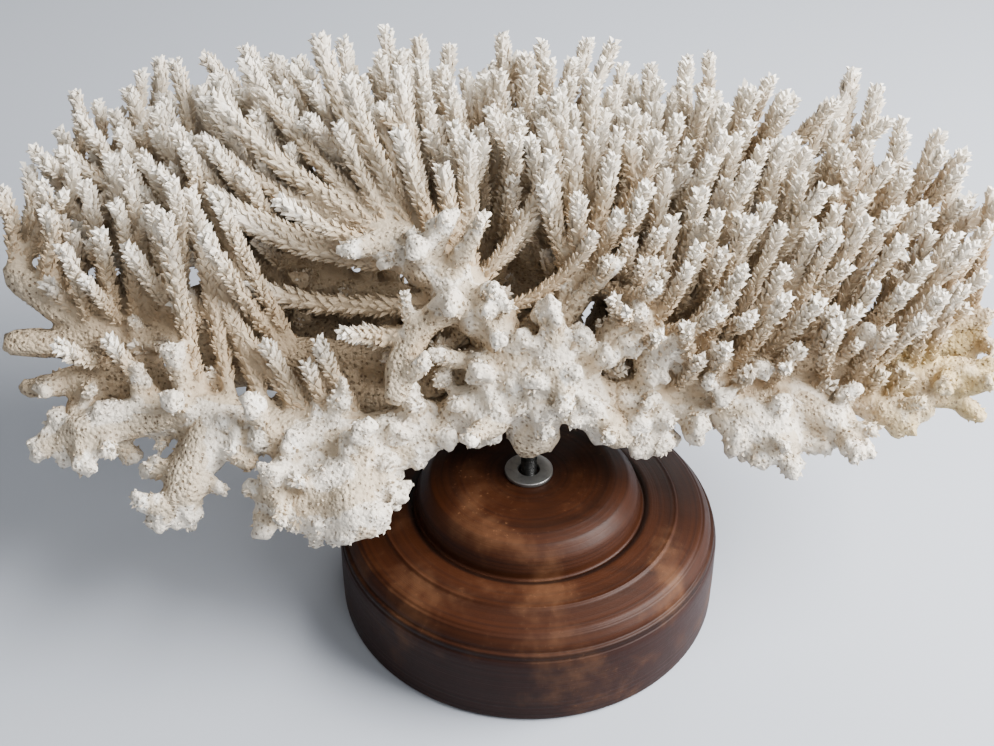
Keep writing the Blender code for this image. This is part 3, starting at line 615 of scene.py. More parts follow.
def add_lumps(rng, twigs):
    """Small round lumps on the sides and the ends of the stubs."""
    for twig in [twig for twig in twigs if twig["kind"] == "knob"]:
        path, radius = twig["path"], twig["radius"]
        for k in range(7):
            end = k < 3
            i = len(path) - 1 if end else rng.randrange(len(path) // 3, len(path))
            way = unit(path[i] - path[i - 1])
            out = unit(np.cross(way, any_way(rng)) + way * (0.9 if end else 0.3))
            size = radius[i] * rng.uniform(0.36, 0.56)
            tip = path[i] + out * (radius[i] * 0.78 + rng.uniform(0.2, 1.6))
            twigs.append({"limb": twig["limb"], "path": np.array((path[i], (path[i] + tip) / 2, tip)),
                          "radius": np.array((size, size, size)), "kind": "lump"})


def fill_out(tubes, twigs):
    """What is too fine or too many for the solids: joins, bridges, more branchlets, side shoots and stubs."""
    rng = random.Random(SEED + 1)
    names = list(tubes)
    add_between(rng, names, tubes, twigs, 12.2, 5200, 20)
    add_between(rng, names, tubes, twigs, 14.0, 2400, 58)
    add_sides(rng, twigs, 90)
    for limb, points, r0, r1 in JOINS:
        path = smooth_route(points)
        tubes[limb].append((path, np.linspace(r0, r1, len(path))))
    for root, end, r in EDGE_STUBS + MIDDLE_STUBS:
        root, end = np.array(root, float), np.array(end, float)
        path = bend(root, end, unit(end - root), unit(end - root + np.array((0, 0, 4))), 7)
        radius = np.array((1.1, 1.0, 0.95, 0.95, 1.0, 1.0, 0.9)) * r
        limb = "foot" if abs(root[0]) < 36 else "front_left_limb" if root[0] < 0 else "front_right_limb"
        twigs.append({"limb": limb, "path": path, "radius": radius, "kind": "knob"})
    add_bridges(rng, names, tubes)
    add_stubs(rng, names, tubes, twigs, 190)
    add_lumps(rng, twigs)
    return tubes, twigs


# the photograph's camera: focal length and picture width in pixels, place in metres, and pitch downwards
FOCAL_PIXELS = 1500.0
PICTURE_WIDTH = 994.0
SENSOR_WIDTH = 36.0
CAMERA_PLACE = (-0.0159, -0.5594, 0.5757)
CAMERA_PITCH = math.radians(38.11)
# soft lights: name, place, what they point at, share of the key light's power, and width
LIGHTS = [
    ("key", (0.95, -0.13, 0.84), (0.0, 0.05, 0.12), 1.0, 1.0),
    ("back", (0.6, 1.5, 1.2), (0.0, 0.05, 0.12), 0.19, 0.9),
    ("front", (0.4, -1.3, 1.2), (0.0, 0.0, 0.10), 0.10, 1.0),
]
DAYLIGHT = (0.93, 0.96, 1.0, 1.0)
FLOOR_WIDTH = 6.0
# the floor lies this far under the base
FLOOR_DROP = 0.0002

# turned profile of the base: radius and height, from the edge of the rod's bore to the axis underneath
BASE_PROFILE = [
    (4.3, 74.0), (42.6, 74.0), (49.9, 71.9), (54.8, 66.2), (56.8, 60.0), (57.2, 57.0), (58.2, 56.0),
    (59.6, 56.7), (62.0, 57.0), (73.6, 55.9), (74.8, 56.1), (75.8, 54.9), (87.4, 52.4), (88.4, 51.4),
    (89.4, 51.1), (92.6, 46.9), (92.9, 44.6), (94.4, 44.3), (95.0, 43.2), (95.0, 41.2), (95.7, 40.6),
    (96.2, 38.0), (96.4, 20.0), (96.3, 2.0), (95.2, 0.0), (0.0, 0.0),
]
BORE_RADIUS = 4.3
BORE_FLOOR = 45.0
ROD_RADIUS = 4.0
THREAD_ROOT = 3.45
ROD_END_RADIUS = 3.5
WASHER_HOLE = 5.4
WASHER_RADIUS = 12.0

GOLDEN_ANGLE = math.pi * (3 - math.sqrt(5))
# share of a branchlet's radius that its skin has under the corallites
CORE_SHARE = 0.68
STUB_CORE_SHARE = 0.86
# share of a limb's radius that its tube has before it is roughened
LIMB_SHARE = 0.96
# the foot's lowest places are raised so that the rod shows: below which height, how fast and at most how far,
# and the distance from the middle at which it ends, with the width over which it fades
FOOT_LOW = 122
FOOT_SLOPE = 0.6
FOOT_LIFT = 7
FOOT_FADE = (42, 18)
# the trunk's tube starts above this height
FOOT_START = 112


def colour_property(label, words, value):
    return bpy.props.FloatVectorProperty(name=label, description=words, subtype="COLOR", size=3, min=0, max=1,
                                         default=value)


def length_property(label, words, value):
    return bpy.props.FloatProperty(name=label, description=words, subtype="DISTANCE", unit="LENGTH", min=0,
                                   precision=5, default=value)


class CoralSettings(bpy.types.PropertyGroup):
    corallite_length: length_property("Corallite length", "Length of one scale-like corallite", 0.0035)
    corallite_rise: length_property("Corallite rise", "Height along a branchlet between corallites", 0.00037)
    stub_spacing: length_property("Spacing on stubs", "Smallest distance between corallites on broken stubs",
                                  0.0028)
    skin_voxel: length_property("Skin voxel", "Cell size when a limb and its branchlets are fused", 0.0019)
    pore_spacing: length_property("Pore spacing", "Distance between the pores on the bare limbs", 0.0027)
    # the tips' own white, also mixed in as the painted highlight on the corallites' rims
    tip_and_highlight_colour: colour_property("Tips", "Clean white of the tips and fresh breaks", (0.82, 0.78, 0.70))
    cream_colour: colour_property("Cream", "Main colour of the limbs and branchlets", (0.46, 0.380, 0.277))
    # tan: the rock's own mottled tone, and also the colour of painted shade deep in the colony and between the
    # corallites
    tan_and_shade_colour: colour_property("Tan", "Colour of the sheltered inside", (0.385, 0.285, 0.178))
    stain_colour: colour_property("Stain", "Yellow-tan stain on the low right ends", (0.44, 0.33, 0.155))
    pore_colour: colour_property("Pores", "Colour deep in the pores", (0.20, 0.14, 0.085))


class StandSettings(bpy.types.PropertyGroup):
    lathe_steps: bpy.props.IntProperty(name="Lathe steps", description="Sides of the turned base",
                                       default=120, min=24)
    wall_colour: colour_property("Wall", "Purplish brown of the base's wall", (0.017, 0.0050, 0.0030))
    ledge_colour: colour_property("Ledge", "Warm brown of the ledge and the dome", (0.028, 0.0072, 0.0017))
    dark_colour: colour_property("Grooves", "Dark brown wax in the grooves and on the plateau",
                                 (0.005, 0.0018, 0.0009))
    worn_colour: colour_property("Worn wood", "Light brown where the finish is rubbed through",
                                 (0.15, 0.068, 0.030))
    steel_colour: colour_property("Steel", "Grey of the washer", (0.40, 0.40, 0.39))
    thread_pitch: length_property("Thread pitch", "Pitch of the rod's thread", 0.00125)


class StageSettings(bpy.types.PropertyGroup):
    floor_colour: colour_property("Floor", "Pale blue-grey of the floor", (0.335, 0.355, 0.395))
    key_power: bpy.props.FloatProperty(name="Key light", description="Power of the large light on the right",
                                       subtype="POWER", unit="POWER", default=101.0)
    fill_strength: bpy.props.FloatProperty(name="Fill", description="Strength of the even light all round",
                                           default=0.38)


class Value:
    """A socket's value in a shader, so that its maths can be written as an expression."""

    def __init__(self, graph, socket):
        self.graph = graph
        self.socket = socket

    def maths(self, operation, *others):
        return self.graph.node("ShaderNodeMath", {"operation": operation}, dict(enumerate((self, *others))))

    def __add__(self, other):
        return self.maths("ADD", other)

    def __sub__(self, other):
        return self.maths("SUBTRACT", other)

    def __mul__(self, other):
        return self.maths("MULTIPLY", other)

    __radd__ = __add__
    __rmul__ = __mul__

    def __rsub__(self, other):
        return self.graph.node("ShaderNodeMath", {"operation": "SUBTRACT"}, {0: other, 1: self})

    def sqrt(self):
        return self.maths("SQRT")

    def least(self, other):
        return self.maths("MINIMUM", other)

    def ramp(self, low, high):
        """0 at low and 1 at high, with soft ends. High may be the smaller one."""
        return self.graph.node("ShaderNodeMapRange", {"interpolation_type": "SMOOTHSTEP"},
                               {"Value": self, "From Min": low, "From Max": high}, "Result")


class Shader:
    """A material's node graph."""

    def __init__(self, name):
        self.material = bpy.data.materials.new(name)
        self.material.use_nodes = True
        self.tree = self.material.node_tree
        self.shader = self.tree.nodes["Principled BSDF"]

    def node(self, kind, settings=None, inputs=None, output=0):
        made = self.tree.nodes.new(kind)
        for key, value in (settings or {}).items():
            setattr(made, key, value)
        for key, value in (inputs or {}).items():
            self.set(made.inputs[key], value)
        return Value(self, made.outputs[output])

    def set(self, socket, value):
        if isinstance(value, Value):
            self.tree.links.new(value.socket, socket)
        else:
            socket.default_value = value

    def surface(self, **inputs):
        for key, value in inputs.items():
            self.set(self.shader.inputs[key.replace("_", " ")], value)

    def place(self):
        return self.node("ShaderNodeTexCoord", output="Object")

    def attribute(self, name):
        return self.node("ShaderNodeAttribute", {"attribute_name": name}, output="Fac")

    def noise(self, place, scale, detail=3.0, roughness=0.55):
        return self.node("ShaderNodeTexNoise", None,
                         {"Vector": place, "Scale": scale, "Detail": detail, "Roughness": roughness})

    def cells(self, place, scale, randomness=0.8):
        return self.node("ShaderNodeTexVoronoi", None,
                         {"Vector": place, "Scale": scale, "Randomness": randomness}, "Distance")

    def mix(self, factor, a, b, way="MIX"):
        made = self.tree.nodes.new("ShaderNodeMix")
        made.data_type = "RGBA"
        made.blend_type = way
        self.set(made.inputs[0], factor)
        for socket, value in ((made.inputs[6], a), (made.inputs[7], b)):
            self.set(socket, value if isinstance(value, Value) else (*value, 1.0))
        return Value(self, made.outputs[2])

    def parts(self, place):
        split = self.tree.nodes.new("ShaderNodeSeparateXYZ")
        self.set(split.inputs[0], place)
        return [Value(self, output) for output in split.outputs]

    def join(self, x, y, z):
        return self.node("ShaderNodeCombineXYZ", None, {0: x, 1: y, 2: z})

    def bump(self, height, distance):
        return self.node("ShaderNodeBump", None, {"Height": height, "Distance": distance, "Strength": 1.0})

    def fixed(self, **inputs):
        """Values that are the same all over the surface, set on the shader's own sockets."""
        for key, value in inputs.items():
            self.shader.inputs[key.replace("_", " ")].default_value = value


def coral_material():
    """Matt coral rock: pores on the bare limbs, white tips, painted highlights on the corallites' rims with
    painted shade between them, and painted tan shade deep inside.
    """
    look = bpy.context.scene.coral_settings
    s = Shader("coral_rock")
    place = s.place()
    tip, deep, bare, tan, rim_light = (s.attribute(name) for name in ("tip", "deep", "bare", "tan", "rim_light"))
    mottle = s.noise(place, 55.0)
    grain = s.noise(place, 1100.0, 2.0)
    wide_pores = s.cells(place, 1.0 / look.pore_spacing, 0.75)
    fine_pores = s.cells(place, 2.1 / look.pore_spacing, 0.9)
    hole = wide_pores.ramp(0.33, 0.19) * bare
    pore = hole * mottle.ramp(0.24, 0.42) * 0.85
    pit = fine_pores.ramp(0.30, 0.12) * bare * 0.45
    # painted highlight: the corallites' rims are whitened as if lit, on top of the coral's own white tips;
    # painted shade dulls both deep inside
    white = (rim_light.ramp(0.25, 1.0) * 0.32 + tip.ramp(0.60, 1.0) * 0.85).least(1.0)
    body = s.mix(white * (1 - deep * 0.55), look.cream_colour, look.tip_and_highlight_colour)
    # painted shade in the gaps between the corallites' rims
    body = s.mix((1 - rim_light).ramp(0.35, 1.0) * (1 - tip * 0.7) * 0.16, body, look.tan_and_shade_colour)
    body = s.mix(mottle.ramp(0.42, 0.72) * 0.28, body, look.tan_and_shade_colour)
    # painted shade: tan deep in the colony and where it is crowded, where little light reaches
    body = s.mix(deep.ramp(0.05, 0.95) * 0.88, body, look.tan_and_shade_colour)
    body = s.mix(tan * (mottle.ramp(0.3, 0.6) * 0.55 + 0.35), body, look.stain_colour)
    body = s.mix(grain.ramp(0.35, 0.7) * 0.30, body, (0.92, 0.89, 0.85), "MULTIPLY")
    body = s.mix((pore + pit).least(1.0), body, look.pore_colour)
    lumps = s.cells(place, 460.0, 1.0)
    height = (1 - lumps) * bare * 0.9 + grain * (bare * 0.25 + 0.1) - hole * 0.9
    s.surface(Base_Color=body, Roughness=grain * 0.2 + 0.72, Normal=s.bump(height, 0.0015))
    s.fixed(Specular_IOR_Level=0.25)
    return s.material


def wood_material():
    """Dark turned wood under old wax: turning rings, dark grooves, patches and rubbed specks."""
    look = bpy.context.scene.stand_settings
    s = Shader("wood")
    place = s.place()
    x, y, z = s.parts(place)
    radius = (x * x + y * y).sqrt()
    rings = s.noise(s.join(radius * 520.0, z * 520.0, 0.0), 1.0, 3.0, 0.6)
    streaks = s.noise(s.join(x * 18.0, y * 110.0, z * 14.0), 1.0, 5.0, 0.6)
    patches = s.noise(place, 26.0, 4.0, 0.6)
    specks = s.noise(place, 420.0, 2.0, 0.7)
    wall = z.ramp(0.046, 0.040)
    plateau = radius.ramp(0.050, 0.042) * z.ramp(0.070, 0.0735)
    groove = (radius - 0.0598).maths("ABSOLUTE").ramp(0.0022, 0.0004) * z.ramp(0.0600, 0.0575)
    step = (z - 0.0425).maths("ABSOLUTE").ramp(0.0022, 0.0006) * radius.ramp(0.093, 0.0965)
    body = s.mix(wall, look.ledge_colour, look.wall_colour)
    body = s.mix(rings.ramp(0.35, 0.75) * 0.55, body, look.dark_colour)
    body = s.mix(streaks.ramp(0.50, 0.78) * 0.35, body, look.dark_colour)
    body = s.mix(patches.ramp(0.50, 0.75) * 0.34, body, look.worn_colour)
    body = s.mix(plateau * patches.ramp(0.62, 0.40) * 0.30, body, look.dark_colour)
    body = s.mix((groove + step).least(1.0) * 0.85, body, look.dark_colour)
    worn = specks.ramp(0.62, 0.74) * patches.ramp(0.45, 0.65) * (plateau * 0.7 + 0.25)
    body = s.mix(worn * 0.7, body, look.worn_colour)
    height = rings * 0.6 + streaks * 0.25 + specks * 0.15
    s.surface(Base_Color=body, Roughness=patches * 0.26 + specks * 0.10 + 0.34,
              Normal=s.bump(height, 0.00035))
    s.fixed(Coat_Weight=0.03, Specular_IOR_Level=0.12, Coat_Roughness=0.28)
    return s.material


def steel_material(name, colour, roughness):
    """Steel with fine turning marks and dull stains."""
    s = Shader(name)
    place = s.place()
    x, y, z = s.parts(place)
    radius = (x * x + y * y).sqrt()
    marks = s.noise(s.join(radius * 2600.0, z * 2600.0, 0.0), 1.0, 2.0)
    stain = s.noise(place, 320.0, 4.0)
    body = s.mix(stain.ramp(0.45, 0.75) * 0.5, colour, [c * 0.45 for c in colour])
    s.surface(Base_Color=body, Roughness=stain * 0.25 + roughness, Normal=s.bump(marks, 0.00005))
    s.fixed(Metallic=1.0)
    return s.material


def floor_material():
    """A plain pale floor with a soft grain."""
    look = bpy.context.scene.stage_settings
    s = Shader("floor")
    cloud = s.noise(s.place(), 3.0, 3.0)
    body = s.mix(cloud.ramp(0.3, 0.7) * 0.10, look.floor_colour, [c * 0.9 for c in look.floor_colour])
    s.surface(Base_Color=body)
    s.fixed(Roughness=0.75)
    return s.material


def mesh_from(name, points, faces=(), edges=()):
    mesh = bpy.data.meshes.new(name)
    mesh.from_pydata([tuple(p) for p in points], list(edges), list(faces))
    mesh.update()
    return mesh


def put(name, data):
    thing = bpy.data.objects.new(name, data)
    bpy.context.scene.collection.objects.link(thing)
    return thing


def discard(*things):
    for thing in things:
        data = thing.data
        bpy.data.objects.remove(thing, do_unlink=True)
        if data is not None and data.users == 0:
            bpy.data.meshes.remove(data)


def baked(thing, name):
    """The plain mesh that an object's modifiers make, in a new object; the old one goes."""
    graph = bpy.context.evaluated_depsgraph_get()
    mesh = bpy.data.meshes.new_from_object(thing.evaluated_get(graph))
    mesh.name = name
    discard(thing)
    return put(name, mesh)


def finish_piece(thing, material, node):
    thing.data.materials.clear()
    thing.data.materials.append(material)
    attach(thing, "root")
    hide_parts(node)
    return thing


def set_values(mesh, name, values):
    mesh.attributes.new(name, "FLOAT", "POINT").data.foreach_set("value", np.asarray(values, np.float32))


def lathe(name, profile, steps, sharp, ring=False):
    """A turned piece from a profile in millimetres that runs from axis to axis, or round a ring's section."""
    points = [(r * MM, 0.0, z * MM) for r, z in profile]
    count = len(points)
    edges = [(i, (i + 1) % count) for i in range(count if ring else count - 1)]
    thing = put(name, mesh_from(name, points, edges=edges))
    turn = thing.modifiers.new("turn", "SCREW")
    turn.steps = turn.render_steps = steps
    turn.use_merge_vertices = True
    turn.merge_threshold = 0.00001
    thing = baked(thing, name)
    shell = bmesh.new()
    shell.from_mesh(thing.data)
    bmesh.ops.remove_doubles(shell, verts=shell.verts, dist=0.000005)
    bmesh.ops.recalc_face_normals(shell, faces=shell.faces)
    shell.to_mesh(thing.data)
    shell.free()
    shade_by_angle(thing.data, sharp)
    return thing


def shade_by_angle(mesh, angle=180):
    """Smooth faces, with the edges sharp that turn by more than an angle in degrees."""
    mesh.polygons.foreach_set("use_smooth", [True] * len(mesh.polygons))
    if angle < 180:
        mesh.set_sharp_from_angle(angle=math.radians(angle))


def rounded(corners, size, steps=4):
    """A profile with its inner corners rounded off by arcs of about the given size in millimetres."""
    out = [corners[0]]
    for a, b, c in zip(corners, corners[1:], corners[2:]):
        a, b, c = np.array(a, float), np.array(b, float), np.array(c, float)
        back, on = a - b, c - b
        reach = min(size, 0.45 * np.linalg.norm(back), 0.45 * np.linalg.norm(on))
        p, q = b + unit(back) * reach, b + unit(on) * reach
        for t in np.linspace(0, 1, steps + 1):
            out.append(tuple(p * (1 - t) ** 2 + 2 * b * t * (1 - t) + q * t * t))
    out.append(corners[-1])
    return out


def sweep(path, radius, sides=10):
    """Rings of points along a path, as points and faces of a closed tube with rounded ends."""
    path = np.asarray(path, float)
    radius = np.asarray(radius, float)
    way = np.gradient(path, axis=0)
    way /= np.linalg.norm(way, axis=1)[:, None]
    first = path[0] - way[0] * radius[0] * 0.5
    last = path[-1] + way[-1] * radius[-1] * 0.6
    path = np.vstack([first, path, last])
    way = np.vstack([way[0], way, way[-1]])
    radius = np.concatenate([[radius[0] * 0.6], radius, [radius[-1] * 0.55]])
    side = np.cross(way[0], (0.3, 0.9, 0.2))
    points, faces = [], []
    angle = np.linspace(0, 2 * math.pi, sides, endpoint=False)
    for p, w, r in zip(path, way, radius):
        side = side - w * (side @ w)
        side = side / np.linalg.norm(side)
        up = np.cross(w, side)
        points.extend(p + r * (math.cos(t) * side + math.sin(t) * up) for t in angle)
    count = len(path)
    for i in range(count - 1):
        for k in range(sides):
            n = (k + 1) % sides
            faces.append((i * sides + k, i * sides + n, (i + 1) * sides + n, (i + 1) * sides + k))
    faces.append(tuple(range(sides - 1, -1, -1)))
    faces.append(tuple(range((count - 1) * sides, count * sides)))
    return points, faces


def all_tubes(name, tubes):
    points, faces = [], []
    for path, radius in tubes:
        p, f = sweep(path, radius)
        faces.extend(tuple(i + len(points) for i in face) for face in f)
        points.extend(p)
    return put(name, mesh_from(name, [np.array(p) * MM for p in points], faces))


def corallite_shape():
    """One corallite: a small pointed scale. X is outwards and Z along the branchlet."""
    root, left, right, point, back = ((-0.26, 0.0, -0.95), (-0.13, -0.50, -0.05), (-0.13, 0.50, -0.05),
                                      (0.40, 0.0, 0.58), (-0.34, 0.0, 0.42))
    faces = [(0, 1, 3), (0, 3, 2), (1, 4, 3), (3, 4, 2), (0, 4, 1), (0, 2, 4)]
    mesh = mesh_from("corallite_shape", (root, left, right, point, back), faces)
    # rim light: painted highlight on the scale's point, painted shade at its root
    set_values(mesh, "rim_light", (0.15, 0.35, 0.35, 1.0, 0.2))
    thing = put("corallite_shape", mesh)
    thing.hide_render = True
    return thing


class Nodes:
    """A Geometry Nodes tree with named inputs."""

    def __init__(self, name, inputs):
        self.tree = bpy.data.node_groups.new(name, "GeometryNodeTree")
        for label, kind, value in inputs:
            socket = self.tree.interface.new_socket(label, in_out="INPUT", socket_type="NodeSocket" + kind)
            if value is not None:
                socket.default_value = value
        self.tree.interface.new_socket("Geometry", in_out="OUTPUT", socket_type="NodeSocketGeometry")
        self.given = self.tree.nodes.new("NodeGroupInput").outputs
        self.end = self.tree.nodes.new("NodeGroupOutput")

    def add(self, kind, settings=None, inputs=None):
        made = self.tree.nodes.new(kind)
        for key, value in (settings or {}).items():
            setattr(made, key, value)
        for key, value in (inputs or {}).items():
            if isinstance(value, bpy.types.NodeSocket):
                self.tree.links.new(value, made.inputs[key])
            else:
                made.inputs[key].default_value = value
        return made

    def maths(self, operation, *values):
        return self.add("ShaderNodeMath", {"operation": operation}, dict(enumerate(values))).outputs[0]

    def product(self, *values):
        out = values[0]
        for value in values[1:]:
            out = self.maths("MULTIPLY", out, value)
        return out

    def random(self, low, high, step):
        """A number drawn for every point; each step makes another series from the tree's seed."""
        seed = self.maths("ADD", self.given["Seed"], float(step)) if step else self.given["Seed"]
        made = self.add("FunctionNodeRandomValue", {"data_type": "FLOAT"}, {2: low, 3: high, "Seed": seed})
        return made.outputs[1]

    def turned(self, rotation, axis, angle):
        """A rotation turned further about one of its own axes."""
        more = self.add("FunctionNodeAxisAngleToRotation", None, {"Axis": axis, "Angle": angle}).outputs[0]
        return self.add("FunctionNodeRotateRotation", {"rotation_space": "LOCAL"},
                        {"Rotation": rotation, "Rotate By": more}).outputs[0]

    def geometry_of(self, thing):
        return self.add("GeometryNodeObjectInfo", None, {"Object": thing}).outputs["Geometry"]

    def named(self, name):
        return self.add("GeometryNodeInputNamedAttribute", {"data_type": "FLOAT"}, {"Name": name}).outputs[0]


def corallite_tree():
    """Corallites in a golden-angle spiral up every branchlet, and scattered over the broken stubs."""
    t = Nodes("corallites", [
        ("Geometry", "Geometry", None), ("Branchlets", "Object", None), ("Corallite", "Object", None),
        ("Rise", "Float", 0.0004), ("Length", "Float", 0.0036), ("Stub spacing", "Float", 0.0026),
        ("Seed", "Int", 3), ("Material", "Material", None)])
    skin, length = t.given["Geometry"], t.given["Length"]
    shape = t.geometry_of(t.given["Corallite"])
    curves = t.add("GeometryNodeMeshToCurve", None, {"Mesh": t.geometry_of(t.given["Branchlets"])}).outputs[0]
    spots = t.add("GeometryNodeCurveToPoints", {"mode": "LENGTH"},
                  {"Curve": curves, "Length": t.given["Rise"]})
    step = t.maths("MULTIPLY", t.add("GeometryNodeInputIndex").outputs[0], GOLDEN_ANGLE)
    spin = t.maths("ADD", step, t.random(-0.55, 0.55, 3))
    turned = t.turned(spots.outputs["Rotation"], (0.0, 0.0, 1.0), spin)
    turned = t.turned(turned, (0.0, 1.0, 0.0), t.random(-0.10, 0.22, 0))
    vary = t.random(0.72, 1.30, 1)
    size = t.product(length, vary, t.named("fine"))
    stand_off = t.product(t.named("reach"), t.random(0.90, 1.12, 4))
    slip = t.product(length, t.random(-0.28, 0.28, 5))
    out = t.add("ShaderNodeCombineXYZ", None, {0: stand_off, 2: slip}).outputs[0]
    out = t.add("FunctionNodeRotateVector", None, {"Vector": out, "Rotation": turned}).outputs[0]
    moved = t.add("GeometryNodeSetPosition", None,
                  {"Geometry": spots.outputs["Points"], "Offset": out}).outputs[0]
    scales = t.add("GeometryNodeInstanceOnPoints", None,
                   {"Points": moved, "Instance": shape, "Rotation": turned, "Scale": size}).outputs[0]
    on_stubs = t.add("GeometryNodeDistributePointsOnFaces", {"distribute_method": "POISSON"},
                     {"Mesh": skin, "Distance Min": t.given["Stub spacing"], "Density Max": 400000.0,
                      "Density Factor": t.named("crumb"), "Seed": t.given["Seed"]})
    facing = t.turned(on_stubs.outputs["Rotation"], (0.0, 0.0, 1.0), t.random(0.0, 2 * math.pi, 2))
    crumbs = t.add("GeometryNodeInstanceOnPoints", None,
                   {"Points": on_stubs.outputs["Points"], "Instance": shape, "Rotation": facing,
                    "Scale": t.product(length, vary, 0.58)})
    together = t.add("GeometryNodeJoinGeometry")
    for part in (crumbs.outputs[0], scales, skin):
        t.tree.links.new(part, together.inputs[0])
    real = t.add("GeometryNodeRealizeInstances", None, {"Geometry": together.outputs[0]}).outputs[0]
    dressed = t.add("GeometryNodeSetMaterial", None, {"Geometry": real, "Material": t.given["Material"]})
    t.tree.links.new(dressed.outputs[0], t.end.inputs[0])
    return t.tree


def set_inputs(modifier, **values):
    for item in modifier.node_group.interface.items_tree:
        if item.item_type == "SOCKET" and item.in_out == "INPUT":
            key = item.name.lower().replace(" ", "_")
            if key in values:
                modifier[item.identifier] = values[key]


COLONY = {}


def raised(path):
    """The foot's lowest places stand a little higher than in the solids, so that the rod shows below them."""
    far, over = FOOT_FADE
    lift = np.clip(FOOT_SLOPE * (FOOT_LOW - path[:, 2]), 0, FOOT_LIFT)
    lift = lift * np.clip((far - np.abs(path[:, 0])) / over, 0, 1)
    return path + lift[:, None] * np.array((0.0, 0.0, 1.0))


def tree_of(points):
    """A search tree over points."""
    tree = kdtree.KDTree(len(points))
    for i, p in enumerate(points):
        tree.insert(p, i)
    tree.balance()
    return tree


def colony():
    """The grown colony, worked out once."""
    if not COLONY:
        tubes, twigs = fill_out(*grow())
        tubes["foot"] = [(raised(path), radius) for path, radius in tubes["foot"]]
        for twig in twigs:
            if twig["limb"] == "foot":
                twig["path"] = raised(twig["path"])
        spots = [p for routes in tubes.values() for path, radius in routes for p in path]
        spots += [p for twig in twigs for p in twig["path"]]
        COLONY.update(tubes=tubes, twigs=twigs, crowd=tree_of(spots))
    return COLONY["tubes"], COLONY["twigs"]


def share(value, low, high):
    """0 at low and 1 at high. High may be the smaller one."""
    return min(1.0, max(0.0, (value - low) / (high - low)))


def shaded(p, reach, few, many):
    """0 where the coral around a place is open and 1 where it is crowded; it weighs the painted shade."""
    return share(len(COLONY["crowd"].find_range(p, reach)), few, many)


def inner_shade(p):
    """Painted shade for a place: 0 on the open front and the canopy, 1 deep between the branchlets."""
    return share(canopy(p[0], p[1]) - p[2], 12, 74) * share(p[1], -16, 18)


def tanned(p):
    """The yellow-tan ends at the lower right."""
    return share(p[0], 158, 188) * share(p[2], 146, 130)


def core_radius(twig):
    """The radius that a branchlet's or a stub's skin has."""
    return twig["radius"] * {"lump": 1.0, "knob": STUB_CORE_SHARE}.get(twig["kind"], CORE_SHARE)


def limb_tubes(name, tubes, twigs):
    """The tubes that fuse into one limb's skin. A limb's root is carried a little into the foot."""
    out = []
    for path, radius in tubes:
        path, radius = path.copy(), radius.copy()
        if name != "foot" and np.linalg.norm(path[0] - np.array(HEART)) < 70:
            path[0] -= unit(path[1] - path[0]) * 6
        if name == "foot" and path[0][2] < FOOT_START - 5:
            path, radius = path[path[:, 2] > FOOT_START], radius[path[:, 2] > FOOT_START]
        out.append((path, radius * LIMB_SHARE))
    return out + [(twig["path"], core_radius(twig)) for twig in twigs]


def vectors(collection, key, count):
    """One vector for each vertex of a mesh."""
    out = np.zeros(count * 3, np.float32)
    collection.foreach_get(key, out)
    return out.reshape(-1, 3)


# what the skin is, as the number of its kind: bare limb, branchlet, or broken stub with its lumps
LIMB, BRANCHLET, STUB = 0, 1, 2
# share of a fused skin's faces that are kept
SKIN_THINNING = 0.43
# for each kind: how bare and porous it is, and how thickly strewn with small corallites
BARE = (1.0, 0.25, 0.6)
CRUMB = (0.06, 0.0, 0.20)
# for each kind: how far wide and fine unevenness move the skin, in millimetres
WIDE_BUMPS = (1.9, 0.3, 1.6)
FINE_BUMPS = (0.7, 0.0, 0.7)


def nearest_parts(tubes, twigs):
    """Every point of a limb's tubes with its radius, its kind and how far along its branchlet it is."""
    spots, fat, kind, along = [], [], [], []
    for path, radius in tubes:
        spots.extend(path)
        fat.extend(radius)
        kind.extend([LIMB] * len(path))
        along.extend([0.35] * len(path))
    for twig in twigs:
        n = len(twig["path"])
        spots.extend(twig["path"])
        fat.extend(core_radius(twig))
        kind.extend([STUB if twig["kind"] in ("knob", "lump") else BRANCHLET] * n)
        along.extend([0.9] * n if twig["kind"] == "lump" else [i / (n - 1) for i in range(n)])
    return tree_of(spots), fat, kind, along


